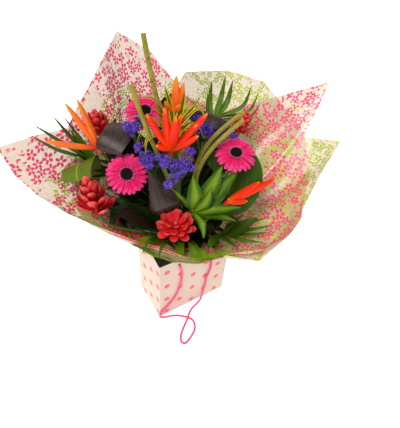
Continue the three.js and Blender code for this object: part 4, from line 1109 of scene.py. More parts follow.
class Grower(Nodes):
    """A Geometry Nodes tree: named inputs in, realized geometry with its material out."""

    def __init__(self, name, **inputs):
        super().__init__(bpy.data.node_groups.new(name, "GeometryNodeTree"))
        self.names = {}
        kinds = {float: "Float", int: "Int", "object": "Object", "material": "Material"}
        self.socket("Geometry", "Geometry")
        for word, kind in {**inputs, "Material": "material"}.items():
            self.names[word] = self.socket(word, kinds[kind]).identifier
        self.socket("Geometry", "Geometry", "OUTPUT")
        self.entry = self.tree.nodes.new("NodeGroupInput")

    def socket(self, word, kind, way="INPUT"):
        """An input or output of the whole tree."""
        return self.tree.interface.new_socket(word, in_out=way, socket_type=f"NodeSocket{kind}")

    def given(self, word):
        """What the tree is given under this name."""
        return Value(self, self.entry.outputs[word])

    def between(self, word, share):
        """A number between an input's start and its end."""
        start, end = self.given(f"{word}_Start"), self.given(f"{word}_End")
        return start + (end - start) * share

    def luck(self, salt, low=-1.0, high=1.0):
        """A random number for each element; each use has a salt of its own."""
        return self.add("FunctionNodeRandomValue", {"data_type": "FLOAT"},
                        {"Min": low, "Max": high, "Seed": self.given("Seed") + salt}, 1)

    def spot(self, x, y, z):
        return self.add("ShaderNodeCombineXYZ", {}, [x, y, z])

    def turned(self, x, y, z):
        """A rotation from three angles."""
        return self.add("FunctionNodeEulerToRotation", {}, [self.spot(x, y, z)])

    def copies(self, points, instance, turn, size, tone):
        """A copy on each point, with a tone of its own."""
        made = self.add("GeometryNodeInstanceOnPoints", {}, {
            "Points": points, "Instance": instance, "Rotation": turn,
            "Scale": self.spot(size, size, size)})
        return self.toned(made, tone, "INSTANCE")

    def toned(self, geometry, tone, domain):
        return self.add("GeometryNodeStoreNamedAttribute", {"data_type": "FLOAT", "domain": domain},
                        {"Geometry": geometry, "Name": "tone", "Value": tone})

    def section(self, resolution, stretch):
        """A strand's section: a circle of radius 1, its points stretched as a function says."""
        circle = self.add("GeometryNodeCurvePrimitiveCircle", {},
                          {"Resolution": resolution, "Radius": 1.0})
        at = self.add("GeometryNodeInputPosition")
        return self.add("GeometryNodeSetPosition", {}, {
            "Geometry": circle, "Position": self.vector("MULTIPLY", at, stretch(at))})

    def swept(self, curve, section):
        """A solid strand along a curve."""
        return self.add("GeometryNodeCurveToMesh", {},
                        {"Curve": curve, "Profile Curve": section, "Fill Caps": True})

    def close(self, geometry):
        """Realizes the instances, sets the material and ends the tree."""
        real = self.add("GeometryNodeRealizeInstances", {}, {"Geometry": geometry})
        painted = self.add("GeometryNodeSetMaterial", {},
                           {"Geometry": real, "Material": self.given("Material")})
        end = self.tree.nodes.new("NodeGroupOutput")
        self.tree.links.new(painted.socket, end.inputs["Geometry"])
        return self

    def grow(self, piece, **values):
        """Runs the tree on a piece with these inputs, and gives the plain mesh that it makes."""
        modifier = piece.modifiers.new("grown", "NODES")
        modifier.node_group = self.tree
        for word, value in values.items():
            modifier[self.names[word]] = value
        return baked(piece)


# what a whorl is given: numbers with a start and an end go from its first copy to its last
WHORL_SPANS = {"Foot": 0.0, "Height": 0.0, "Lean": 0.0, "Size": 1.0}
WHORL_NUMBERS = {"Count": 1, "Turn": math.radians(137.5), "Foot_Power": 1.0, "Jitter": 0.0,
                 "Ordered": 0.0, "Seed": 1}


def whorl_tree():
    """Copies of one petal, bract or floret, turned round an axis and stacked along it."""
    tree = Grower("whorl", **{f"{word}_{end}": float for word in WHORL_SPANS
                              for end in ("Start", "End")},
                  **{word: type(value) for word, value in WHORL_NUMBERS.items()})
    index = tree.add("GeometryNodeInputIndex")
    share = index / (tree.given("Count") - 1)
    jitter = tree.given("Jitter")
    angle = index * tree.given("Turn") + tree.luck(1) * jitter
    foot = tree.between("Foot", share ** tree.given("Foot_Power"))
    place = tree.spot(foot * angle.cos(), foot * angle.sin(), tree.between("Height", share))
    lean = tree.between("Lean", share) + tree.luck(2) * jitter
    turn = tree.turned(tree.luck(3) * jitter, lean, angle)
    size = tree.between("Size", share) * (tree.luck(4) * jitter * 0.5 + 1)
    points = tree.add("GeometryNodePoints", {}, {"Count": tree.given("Count"), "Position": place})
    ordered = tree.given("Ordered")
    tone = share * ordered + tree.luck(5, 0.0) * (1 - ordered)
    return tree.close(tree.copies(points, tree.given("Geometry"), turn, size, tone))


def scatter_tree():
    """Copies of a floret over a surface, a least distance apart, facing out of it."""
    tree = Grower("scatter", Floret="object", Distance=float, Size=float, Tilt=float, Seed=int)
    points = tree.add("GeometryNodeDistributePointsOnFaces", {"distribute_method": "POISSON"}, {
        "Mesh": tree.given("Geometry"), "Distance Min": tree.given("Distance"),
        "Density Max": 200000.0, "Seed": tree.given("Seed")})
    floret = tree.add("GeometryNodeObjectInfo", {}, {"Object": tree.given("Floret")}, "Geometry")
    tilt = tree.given("Tilt")
    wobble = tree.turned(tree.luck(1) * tilt, tree.luck(2) * tilt, tree.luck(3, 0.0, 6.28))
    turn = tree.add("FunctionNodeRotateRotation", {"rotation_space": "LOCAL"},
                    [points.out("Rotation"), wobble])
    size = tree.luck(4, 0.75, 1.15) * tree.given("Size")
    return tree.close(tree.copies(points, floret, turn, size, tree.luck(5, 0.0)))


def strand_tree():
    """A twisted cord along a curve: its section has one lobe for each strand."""
    tree = Grower("twisted_strands", Radius=float, Strands=int, Pitch=float)
    run = tree.add("GeometryNodeSplineParameter", output="Length")
    tilted = tree.add("GeometryNodeSetCurveTilt", {}, {
        "Curve": tree.given("Geometry"), "Tilt": run / tree.given("Pitch") * (2 * math.pi)})

    def lobe(at):
        x, y, _ = at.split()
        return (y.arctan2(x) * tree.given("Strands") / 2).cos().abs()

    def lobed(at):
        radius = tree.given("Radius") * (lobe(at) * 0.22 + 0.86)
        return tree.spot(radius, radius, radius)

    section = tree.section(24, lobed)
    section = tree.toned(section, lobe(tree.add("GeometryNodeInputPosition")), "POINT")
    return tree.close(tree.swept(tilted, section))


def winding_tree():
    """A flat strand wound round and round, as raffia round a neck of stems."""
    tree = Grower("winding", Turns=float, Radius=float, Height=float, Width=float, Thickness=float)
    spiral = tree.add("GeometryNodeCurveSpiral", {}, {
        "Resolution": 40, "Rotations": tree.given("Turns"), "Start Radius": tree.given("Radius"),
        "End Radius": tree.given("Radius"), "Height": tree.given("Height")})
    section = tree.section(10, lambda at: tree.spot(tree.given("Thickness"), tree.given("Width"), 0))
    return tree.close(tree.swept(spiral, section))


TREES = {}


def tree(name):
    """A node tree by its name, made when it is first wanted."""
    if name not in TREES:
        TREES[name] = {"whorl": whorl_tree, "scatter": scatter_tree, "strands": strand_tree,
                       "winding": winding_tree}[name]()
    return TREES[name]


def whorl(name, shape, material, **values):
    """A piece made of turned copies of a shape. Lengths are in millimetres, and a pair of values
    goes from the first copy to the last."""
    given = {word: values.get(word, value) for word, value in WHORL_NUMBERS.items()}
    for word, usual in WHORL_SPANS.items():
        unit_size = MM if word in ("Foot", "Height") else 1
        span = np.broadcast_to(values.get(word, usual), 2) * unit_size
        given[f"{word}_Start"], given[f"{word}_End"] = span.tolist()
    piece = shape.piece(name, bare=True)
    return tree("whorl").grow(piece, Material=material, **given)


def joined(name, *pieces):
    """Several pieces as one."""
    with bpy.context.temp_override(active_object=pieces[0], object=pieces[0],
                                   selected_objects=pieces, selected_editable_objects=pieces):
        bpy.ops.object.join()
    pieces[0].name = name
    pieces[0].data.name = name
    return pieces[0]


# ------------------------------------------------------------------ the wrapped bag

# where the lattice of dots begins on the bag's front, a spot between the dots, and how far from
# the bag's edges their softness begins
PRINT_LEFT = 16.9
PRINT_TOP = 24.7
UNPRINTED = (-3.36, -3.0)
CORNER = 1.6
# where the side folds begin above the table, and how far the wide faces wave
GUSSET_FOOT = 62
BULGE = 0.385


def bag_ring(bag, inset, z, pinch):
    """The bag's outline at a height, from its front left edge, with soft corners."""
    x, y = bag.width / MM / 2 - inset, bag.depth / MM / 2 - inset
    marks = np.array([(-x, -y), (x, -y), (x - pinch, 0), (x, y), (-x, y), (-x + pinch, 0)])
    points = []
    for start, way in zip(marks, np.roll(marks, -1, 0) - marks):
        corner = CORNER / np.linalg.norm(way)
        points += [(*(start + way * t), z) for t in np.linspace(corner, 1 - corner, 14)]
    return np.array(points, float)


def bag_levels(card, height, hem):
    """The rings of the bag as (how far in, height, whether inside), from its base round the rim
    and the hem to its floor."""
    outside = [0.0, 1.2, *np.linspace(6, height - 1, 34), height - 0.2]
    inside = [card * 1.7] * 3 + [card * 1.3] + [card] * 14 + [card + 0.4]
    down = [height - 0.2, height - hem * 0.5, height - hem + 0.4, height - hem,
            *np.linspace(height - hem - 0.4, card + 0.5, 14), card]
    return ([(0.0 if z else 0.35, z, False) for z in outside] + [(card * 0.5, height, False)]
            + [(inset, z, True) for inset, z in zip(inside, down)])


def bag_body(bag):
    """Outside wall, rim, turned-down hem, inside wall and floor as one closed sheet of card."""
    height, half_width, half_depth = bag.height / MM, bag.width / MM / 2, bag.depth / MM / 2
    levels = bag_levels(bag.card / MM, height, bag.hem / MM)
    rings = []
    for inset, z, inside in levels:
        folded = max(0.0, (z - GUSSET_FOOT) / (height - GUSSET_FOOT))
        ring = bag_ring(bag, inset, z, bag.gusset / MM * folded)
        if 2 < z < height - 2 and not inside:
            reach = np.clip(1 - np.abs(ring[:, 0]) / (half_width - 6), 0, 1)
            sag = BULGE * math.sin(math.pi * z / height) * reach * np.sin(ring[:, 0] / 23 + z / 60)
            wide_face = np.abs(ring[:, 1]) > half_depth - 2.5
            ring[:, 1] -= np.where(wide_face, np.abs(sag) * np.sign(ring[:, 1]), 0)
        rings.append(ring)
    rings = np.array(rings)
    around = Line(np.vstack([rings[0], rings[0][:1]])).run
    shape = Shape()
    shape.skin(rings, (height - PRINT_TOP - rings[:, 0, 2]) / PRINT_UNIT,
               around=(around - PRINT_LEFT) / PRINT_UNIT, cap=UNPRINTED)
    mesh = shape.mesh("bag_body")
    mesh.materials.append(paint("card"))
    mesh.materials.append(paint("plain_card"))
    inner = [inside for _, _, inside in levels[1:] for _ in rings[0]] + [True, True]
    mesh.polygons.foreach_set("material_index", np.array(inner, np.int32))
    return mesh


def punched(piece, places, radius):
    """The piece with round holes through its wide faces."""
    tools = []
    for k, (x, y, z) in enumerate(places):
        shape = Shape()
        shape.tube(Line([(x, y - 8, z), (x, y + 8, z)]), lambda t: t * 0 + radius, sides=20, steps=1)
        tool = shape.piece(f"punch_{k}")
        tools.append(tool)
        modifier = piece.modifiers.new("punch", "BOOLEAN")
        modifier.operation = "DIFFERENCE"
        modifier.solver = "EXACT"
        modifier.object = tool
    piece = baked(piece)
    for tool in tools:
        bpy.data.objects.remove(tool)
    return piece


class BOUQUET_OT_bag(bpy.types.Operator):
    """Make the printed gift bag with its hem and its punched holes"""
    bl_idname = "bouquet.bag"
    bl_label = "Gift Bag"

    def execute(self, context):
        bag = context.scene.bouquet_bag
        piece = show("gift_bag", bag_body(bag))
        half = bag.depth / MM / 2
        holes = [(x, y, HOLE_HEIGHT) for x in HOLES for y in (-half, half)]
        piece = punched(piece, holes, HOLE_RADIUS)
        settle(piece, None, ["bag"], crease=28)
        return {"FINISHED"}


class BOUQUET_OT_handle(bpy.types.Operator):
    """Lay the twisted handle along its route and knot its two ends inside the bag"""
    bl_idname = "bouquet.handle"
    bl_label = "Twisted Handle"

    def execute(self, context):
        bag = context.scene.bouquet_bag
        route = Line.through(HANDLE, per_span=8)
        middle = route.at(np.linspace(0, 1, 420)) * MM
        curve = bpy.data.curves.new("handle_route", "CURVE")
        curve.dimensions = "3D"
        spline = curve.splines.new("POLY")
        spline.points.add(len(middle) - 1)
        spline.points.foreach_set("co", np.column_stack([middle, np.ones(len(middle))]).ravel())
        piece = tree("strands").grow(show("handle_twist", curve), Radius=bag.cord / 2,
                                     Strands=bag.strands, Pitch=TWIST * MM,
                                     Material=paint("cord"))
        settle(piece, "cord", ["handle_cord"], crease=70)
        for side, x in zip(("left", "right"), HOLES):
            t = np.linspace(0, 2 * math.pi, 90)
            loop = np.column_stack([np.sin(t) + 2 * np.sin(2 * t), -np.sin(3 * t) * 1.3,
                                    np.cos(t) - 2 * np.cos(2 * t)]) * 0.85
            loop += (x, FRONT + bag.card / MM + GAP + KNOT / 2, HOLE_HEIGHT)
            shape = Shape()
            shape.tube(Line(loop), lambda t: t * 0 + 1.7, sides=12, steps=80, tone=0.7)
            name = f"handle_knot_{side}"
            knot = shape.piece(f"{name}_tied")
            settle(knot, "cord", [name], crease=70)
        return {"FINISHED"}


# ------------------------------------------------------------------ film, tie and water

def film_lengths():
    """The trumpet table as arrays: azimuths, belly, rim and how much each sheet covers."""
    azimuth, belly, rim, *cover = (np.array(column, float).T for column in zip(*TRUMPET))
    return azimuth, belly, rim, np.array(cover)


def flared(t, belly, rim, k):
    """The film's radius (k = 0) or height (k = 1) at a share of the way from mouth to rim."""
    return (1 - t)**2 * FILM_MOUTH[k] + 2 * t * (1 - t) * belly[k] + t**2 * rim[k]


def cylinder(radius, turn, height):
    """Points in space from a radius, an angle and a height."""
    return np.stack([radius * np.cos(turn), radius * np.sin(turn), height], axis=-1)


def film_grid(sheet, pleat):
    """The points of one sheet, from the neck to the rim at each azimuth, and its flat print."""
    azimuth, belly, rim, cover = film_lengths()
    if sheet == "lime":
        flap = int(np.argmax(azimuth == LIME_FLAP[0]))
        belly[:, flap], rim[:, flap] = LIME_FLAP[1:]
    own = cover[0 if sheet == "pink" else 1]
    levels = np.concatenate([np.linspace(-1, 0, 6)[:-1], np.linspace(0, 1, 34)])
    t = levels * np.where(levels > 0, own[:, None], 1)

    def trumpet(k):
        under = FILM_MOUTH[k] + (FILM_NECK[k] - FILM_MOUTH[k]) * np.clip(-t, 0, 1)
        over = flared(np.clip(t, 0, 1), belly[..., None], rim[..., None], k)
        return np.where(t < 0, under, over)

    radius, height = trumpet(0), trumpet(1)
    per_row = 10
    after = np.append(azimuth[1:], azimuth[0] + 360)
    fine = np.concatenate([np.linspace(a, b, per_row, endpoint=False)
                           for a, b in zip(azimuth, after)])
    row = np.repeat(np.arange(len(azimuth)), per_row)
    part = np.tile(np.arange(per_row) / per_row, len(azimuth))[:, None]

    def along_chords(rows, part):
        """Values on the straight lines between neighbouring rows."""
        return rows[row] * (1 - part) + np.roll(rows, -1, 0)[row] * part

    angle = np.radians(fine)[:, None]
    soft = cylinder(between_rows(azimuth, radius, fine, 360), angle,
                    between_rows(azimuth, height, fine, 360))
    straight = along_chords(cylinder(radius, np.radians(azimuth)[:, None], height), part[..., None])
    edge = np.clip((levels - 0.72) / 0.28, 0, 1)[:, None]
    edge = edge * edge * (3 - 2 * edge)
    points = soft * (1 - edge) + straight * edge
    around = np.roll(points, -1, 0) - np.roll(points, 1, 0)
    normal = unit(np.cross(np.gradient(points, axis=1), around))
    full = along_chords(np.clip(t, 0, 1), part)
    swell = np.sin(math.pi * np.clip(full, 0, 1)**0.8)
    wave = (0.55 * np.sin(9 * angle + 0.6 + 2.5 * full) + 0.4 * np.sin(17 * angle + 2.1 - 3 * full)
            + 0.28 * np.sin(29 * angle + 4 * full) + 0.12 * np.sin(47 * angle + 1.2))
    points = points + normal * (pleat * swell * wave)[..., None]
    steps = np.linalg.norm(np.diff(soft, axis=1), axis=2)
    run = np.concatenate([np.zeros((len(fine), 1)), np.cumsum(steps, axis=1)], axis=1)
    turn = np.radians((fine - PRINT_SEAM) % 360)[:, None] * PRINT_SPREAD
    flat = cylinder(run, turn, run)[..., :2] / PRINT_UNIT
    if sheet == "lime":
        points = points - normal * behind_inner(points, full, levels, pleat)[..., None]
    return points, normal, flat, full


def behind_inner(points, full, levels, pleat):
    """How far the outer sheet steps back, so that it stays behind the inner one."""
    inner, facing, _, cover = film_grid("pink", pleat)

    def read(rows):
        return np.array([[np.interp(full[i], cover[i], rows[i, :, k]) for k in range(3)]
                         for i in range(len(full))]).transpose(0, 2, 1)

    ahead = np.maximum(((points - read(inner)) * read(facing)).sum(-1), 0)
    covered = np.clip(1 - (full - cover[:, -1:]) / 0.1, 0, 1)
    return FILM_BETWEEN * np.where(levels < 0, 0.6, 1.0) + ahead * covered * 1.1


def film_piece(name, sheet, film):
    """One sheet of film as a closed thin shell, and its area in square metres."""
    points, normal, flat, _ = film_grid(sheet, film.pleat / MM)
    total, count = points.shape[:2]
    low = total * count
    index = np.arange(low).reshape(total, count)
    top = quads(np.append(index, index[:1], axis=0))
    flat_next = np.roll(flat, -1, 0)
    seam = np.argmax(np.linalg.norm(flat_next[:, -1] - flat[:, -1], axis=1))
    flat_next[seam] = flat[seam] + (flat[seam] - flat[seam - 1])
    uv = np.stack([flat[:, :-1], flat[:, 1:], flat_next[:, 1:], flat_next[:, :-1]], axis=2)
    uv = uv.reshape(-1, 4, 2)
    faces, corners = [top, top[:, ::-1] + low], [uv, uv[:, ::-1]]
    for column in (0, -1):
        edge = index[:, column]
        after = np.roll(edge, -1)
        ring = [edge, after, after + low, edge + low]
        faces.append(np.stack(ring if column == 0 else [ring[k] for k in (0, 3, 2, 1)], axis=-1))
        corners.append(np.repeat(flat[:, column, None], 4, axis=1))
    shell = np.concatenate([points, points - normal * (film.thickness / MM)])
    shape = Shape()
    shape.take(shell, np.concatenate(faces), np.concatenate(corners))
    across = np.roll(points, -1, 0)[:, :-1] - points[:, :-1]
    area = np.linalg.norm(np.cross(np.diff(points, axis=1), across), axis=2).sum() * MM * MM
    return shape.piece(name), area


class BOUQUET_OT_film(bpy.types.Operator):
    """Gather the two printed sheets of film round the stems"""
    bl_idname = "bouquet.film"
    bl_label = "Film Wrapper"

    def execute(self, context):
        film = context.scene.bouquet_film
        for sheet in ("pink", "lime"):
            piece, area = film_piece(f"wrapper_{sheet}", sheet, film)
            settle(piece, f"film_{sheet}", [f"film_{sheet}"])
        return {"FINISHED"}


class BOUQUET_OT_tie(bpy.types.Operator):
    """Wind the raffia round the neck of the wrapper"""
    bl_idname = "bouquet.tie"
    bl_label = "Raffia Tie"

    def execute(self, context):
        seed = Shape()
        seed.tube(Line([(0, 0, 0), (0, 0, 1)]), lambda t: t * 0 + 1, steps=1)
        piece = tree("winding").grow(
            seed.piece("raffia_winding"), Turns=6.0, Material=paint("raffia"),
            Radius=(TIE["inner"] + TIE["outer"]) / 2 * MM, Height=TIE["width"] * 0.82 * MM,
            Width=1.25 * MM, Thickness=0.62 * MM)
        piece.data.transform(Matrix.Translation((0, 0, (TIE["height"] + 1.1) * MM)))
        settle(piece, "raffia", ["tie"], crease=70)
        return {"FINISHED"}


class BOUQUET_OT_water(bpy.types.Operator):
    """Stand the soft pack of water in the bag"""
    bl_idname = "bouquet.water"
    bl_label = "Water Pack"

    def execute(self, context):
        low, high = (np.array(corner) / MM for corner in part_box("water_pack"))
        half, middle = (high - low) / 2, (high + low) / 2
        angle = np.linspace(0, 2 * math.pi, 72, endpoint=False)
        cos, sin = np.cos(angle), np.sin(angle)
        lengths = np.linspace(0, 1, 30)
        rings = []
        for t in lengths:
            swell = (1 - abs(2 * t - 1)**5)**0.3 if 0 < t < 1 else 0.72
            ripple = 1 + 0.012 * np.sin(7 * angle + 9 * t) * math.sin(math.pi * t)
            size = (0.86 + 0.14 * swell) * ripple * 0.985
            x = np.sign(cos) * np.abs(cos)**0.55 * half[0] * size + middle[0]
            y = np.sign(sin) * np.abs(sin)**0.55 * half[1] * size + middle[1]
            rings.append(np.column_stack([x, y, np.full(len(x), low[2] + (high - low)[2] * t)]))
        shape = Shape()
        shape.skin(np.array(rings), lengths)
        piece = shape.piece("water_pillow")
        settle(piece, "water", ["water_pack"])
        return {"FINISHED"}


# ------------------------------------------------------------------ blooms

def stem_piece(name, place, top, axis, swell, lean, lift=0.3, finish="stem",
               stands_for=None, shape=None):
    """A stem from the water to its bloom; swell is its radius, and shape holds its side arms."""
    shape = shape or Shape()
    shape.tube(whole_stem(place, stem_line(place, top, axis, lean, lift)), profile(swell, 0.004),
               sides=12, steps=60, tone=0.4)
    piece = shape.piece(name)
    if stands_for is None:
        stands_for = [name.replace("_stalk", "_stem")]
    return settle(piece, finish, stands_for, crease=50)


def gerbera_petal(reach, width, droop):
    """One ray of a gerbera, lying along +X."""
    shape = Shape()
    line = Line.through([(7.5, 0, 0), (reach * 0.45, 0, 1.9), (reach * 0.8, 0, 1.0),
                         (reach, 0, droop)])
    table = ((0, width * 0.42), (0.3, width * 0.72), (0.72, width), (0.9, width * 0.86),
             (0.97, width * 0.55), (1, width * 0.2))
    shape.blade(line, profile(table, 0.05), UPWARD, curl=-0.55, across=6, steps=12, thick=0.7,
                rib=0.35)
    return shape


def short_ray():
    """One short ray from beside the eye, lying along +X."""
    shape = Shape()
    line = Line.through([(0, 0, 0), (3, 0, 0.5), (6, 0, -0.4)])
    shape.blade(line, profile(((0, 1.4), (0.6, 2.0), (1, 0.3))), UPWARD, curl=-0.5, across=2,
                steps=4, thick=0.4)
    return shape


def gerbera_petals(name, flowers):
    """Two rings of rays and a ring of short inner ones."""
    reach, petals, seed = flowers.gerbera_reach / MM, flowers.gerbera_petals, len(name)
    rays = (
        ("rays", gerbera_petal(reach, width=8.2, droop=-2.6), petals,
         {"Jitter": 0.045, "Seed": seed}),
        ("rays_over", gerbera_petal(reach * 0.9, width=7.2, droop=-0.2), petals - 2,
         {"Height": 2.2, "Jitter": 0.06, "Seed": seed + 9}),
        ("rays_short", short_ray(), 52,
         {"Foot": 9.6, "Height": 3.2, "Lean": -0.5, "Jitter": 0.14, "Seed": seed + 5}),
    )
    return joined(name, *(whorl(word, shape, paint("gerbera"), Count=count,
                                Turn=2 * math.pi / count, **values)
                          for word, shape, count, values in rays))


def gerbera_eye(name, flowers):
    """The eye: a low dome packed with florets in a sunflower spiral."""
    radius = np.array([6, 10.2, 10.4, 9, 6.5, 3.5, 0.6])
    height = np.array([2.4, 4.2, 5.2, 6, 5.8, 5.2, 5])
    angle = np.linspace(0, 2 * math.pi, 40, endpoint=False)
    dome = Shape()
    dome.skin(cylinder(radius[:, None], angle, np.repeat(height[:, None], 40, axis=1)), radius,
              tone=0.35)
    base = dome.piece("dome")
    base.data.materials.append(paint("eye"))
    bud = Shape()
    bud.tube(Line([(0, 0, -0.6), (0, 0, 1.3), (0, 0, 2.5)]),
             profile(((0, 0.4), (0.6, 0.78), (1, 0.25))), sides=6, steps=3)
    florets = whorl("florets", bud, paint("eye"), Count=flowers.eye_florets, Foot=(0, 12),
                    Foot_Power=0.5, Height=(5.0, 5.4), Lean=(0, 0.85), Size=(0.8, 1.5), Jitter=0.08,
                    Ordered=1.0, Seed=4)
    return joined(name, base, florets)


class BOUQUET_OT_gerberas(bpy.types.Operator):
    """Make the three pink gerberas with their dark eyes and their stems"""
    bl_idname = "bouquet.gerberas"
    bl_label = "Gerberas"

    def execute(self, context):
        flowers = context.scene.bouquet_flowers
        for name, place, axis, slot in GERBERAS:
            axis = unit(axis)
            for made, node, finish in ((gerbera_petals(f"{name}_petals", flowers), "rays", "gerbera"),
                                       (gerbera_eye(f"{name}_disc", flowers), "eye", "eye")):
                moved(made.data, place, axis)
                settle(made, None, [f"{name}_{node}"])
            swell = ((0, 2.3), (0.9, 2.6), (0.965, 3.2), (0.985, 6.5), (0.996, 10.5), (1, 10.8))
            stem_piece(f"{name}_stalk", slot, place - axis * 1.2, axis, swell, lean=0.32)
        return {"FINISHED"}


# how far out a bract reaches as it is drawn
GINGER_BRACT = 32


def ginger_bract(broad):
    """One waxy bract, lying along +X and cupped upwards, with its tip turned in."""
    shape = Shape()
    line = Line.through([(0, 0, 0), (11, 0, -2.2), (24, 0, -1.6), (33, 0, 1.6), (35.5, 0, 4.2)])
    table = ((0, 7), (0.3, 16), (0.62, 21), (0.84, 20), (0.95, 14.5), (1, 7))
    width = profile(table, 0.07)
    shape.blade(line, lambda t: width(t) * broad, UPWARD, curl=lambda t: -(1.2 + 0.3 * t),
                across=10, steps=14, thick=1.3, rib=0.5)
    return shape


class BOUQUET_OT_gingers(bpy.types.Operator):
    """Make the four red ginger heads with their spiral of waxy bracts"""
    bl_idname = "bouquet.gingers"
    bl_label = "Red Ginger"

    def execute(self, context):
        flowers = context.scene.bouquet_flowers
        for name, place, axis, slot, high, reach, opening, broad in GINGERS:
            axis = unit(axis)
            core = Shape()
            core.tube(Line([(0, 0, 0), (0, 0, high + 6)]), profile(((0, 6.5), (1, 3))), sides=14,
                      steps=8, tone=0.8)
            middle = core.piece("core")
            middle.data.materials.append(paint("ginger"))
            size = reach / GINGER_BRACT
            lean = [math.radians(degrees) for degrees in (opening[0] - 90, opening[1] - 92)]
            bracts = whorl("bracts", ginger_bract(broad), paint("ginger"),
                           Count=flowers.ginger_bracts, Foot=(3.0, 0.8), Height=(3.0, high + 2),
                           Lean=lean, Size=(size, size * 0.68), Jitter=0.15, Seed=len(name))
            piece = joined(f"{name}_head", middle, bracts)
            moved(piece.data, place, axis)
            settle(piece, None, [f"{name}_bracts"])
            stem_piece(f"{name}_stalk", slot, place - axis * GAP, axis,
                       ((0, 2.4), (0.97, 2.6), (1, 5)), lean=0.3)
        return {"FINISHED"}


def heliconia_bracts(shape, place, axis, bracts):
    """Long folded boats from the flower's joint to their tips."""
    at = np.array(place, float)
    shape.tube(Line([at, at + axis * 16]), profile(((0, 4.4), (1, 3.2))), sides=14, steps=4,
               tone=0.6)
    rule = ((0, 0.5), (0.16, 0.95), (0.36, 1.2), (0.68, 1.1), (0.9, 0.72), (1, 0.18))
    for k, (tip, half) in enumerate(bracts):
        foot = at + axis * (4 + 8 * k / len(bracts))
        tip = np.array(tip, float)
        size = np.linalg.norm(tip - foot)
        middle = (foot + tip) / 2 - axis * size * 0.05
        line = Line.bent(foot, foot + (middle - foot) * 0.9, middle + (tip - middle) * 0.2, tip)
        width = profile(rule, 0.06)
        shape.tube(line, lambda t: width(t) * half, sides=16, steps=26, face=axis, flat=0.85,
                   tone=0.15 + 0.1 * (k % 3))
        lip = Line(line.at(np.linspace(0.06, 0.94, 40)) + axis * half * 0.5)
        shape.blade(lip, lambda t: width(t * 0.88 + 0.06) * half * 0.5, axis, curl=-1.2, across=4,
                    steps=22, thick=0.9, rib=0.8, tone=0.95)


class BOUQUET_OT_heliconias(bpy.types.Operator):
    """Make the orange heliconias with their boat-shaped bracts"""
    bl_idname = "bouquet.heliconias"
    bl_label = "Heliconias"

    def execute(self, context):
        for name, place, axis, slot, bracts in HELICONIAS:
            axis = unit(axis)
            shape = Shape()
            heliconia_bracts(shape, place, axis, bracts)
            piece = shape.piece(f"{name}_boats")
            finish = "heliconia" if name.endswith(("front", "right")) else "pale_heliconia"
            settle(piece, finish, [f"{name}_bracts"], crease=50)
            stem_piece(f"{name}_stalk", slot, place - axis * GAP, axis,
                       ((0, 2.3), (0.97, 2.5), (1, 4.2)), lean=0.3)
        return {"FINISHED"}


def statice_floret(size):
    """A small papery cup of five petals, opening along +Z."""
    shape = Shape()
    for k in range(5):
        turn = 2 * math.pi * k / 5
        c, s = math.cos(turn), math.sin(turn)
        spots = [(0.25, -1.2), (0.7, 0.6), (size * 0.3, 1.6), (size * 0.5, 1.5)]
        line = Line.through([(r * c, r * s, z) for r, z in spots], per_span=6)
        table = ((0, 0.5), (0.5, size * 0.24), (0.85, size * 0.36), (1, size * 0.2))
        shape.blade(line, profile(table), (-c * 0.6, -s * 0.6, 0.8), curl=-0.4, across=2, steps=3,
                    thick=0.3)
    return shape


class BOUQUET_OT_statices(bpy.types.Operator):
    """Scatter papery florets over the arms of the violet statice sprays"""
    bl_idname = "bouquet.statices"
    bl_label = "Statice"

    def execute(self, context):
        flowers = context.scene.bouquet_flowers
        floret = statice_floret(flowers.statice_floret / MM).piece("floret", bare=True)
        chance = np.random.default_rng(5)
        for number, (name, place, axis, slot, arms) in enumerate((*STATICES, OUTER_STATICE)):
            axis = unit(axis)
            at = np.array(place, float)
            below = at - axis * (11 + GAP)
            fork = stem_line(slot, below, axis, 0.35).at(0.85)
            clusters, twigs = Shape(), Shape()
            for tip in np.array(arms, float):
                line = Line.through([at - axis * 2, (at + tip) / 2 + axis * 4, tip])
                for share in (0.3, 0.45, 0.6, 0.75, 0.9, 1.0):
                    knob = line.at(share) + chance.uniform(-7, 7, 3) + axis * 2
                    big = chance.uniform(3.4, 6.6)
                    clusters.tube(Line([knob - axis * big, knob, knob + axis * big]),
                                  profile(((0, 1), (0.2, big * 0.85), (0.55, big),
                                           (0.9, big * 0.6), (1, 1))), sides=12, steps=8)
                twigs.tube(line, lambda t: 2.2 - t, sides=6, steps=8)
                end = at + (tip - at) * 0.8 - axis * 5
                twigs.tube(Line.through([fork, (fork + end) / 2 + axis * 2, end]),
                           lambda t: 1.3 - 0.3 * t, sides=8, steps=8)
            piece = tree("scatter").grow(
                clusters.piece(f"{name}_clusters", bare=True), Floret=floret, Size=1.1,
                Distance=flowers.statice_spacing, Tilt=0.8, Seed=number + 3,
                Material=paint("statice"))
            florets, green = ([], []) if name == OUTER_STATICE[0] else (
                [f"{name}_florets"], [f"{name}_green"])
            settle(piece, None, florets)
            stem_piece(f"{name}_branch", slot, below, axis, ((0, 2.2), (1, 2.2)), lean=0.35,
                       stands_for=green, shape=twigs)
        bpy.data.objects.remove(floret)
        return {"FINISHED"}


# ------------------------------------------------------------------ leaves and canes

LOOKS = {
    "cordyline": ("cordyline", "cordyline"), "aspidistra": ("aspidistra", "aspidistra"),
    # aspidistras that stand in the shade get the darker foliage green instead of their own: painted
    # shade
    "shade_darkened": ("leaf", "aspidistra"),
    "dracaena": ("dracaena", "dracaena"), "palm": ("palm", "palm"), "leaf": ("leaf", "green"),
    "croton": ("croton", "croton"),
}


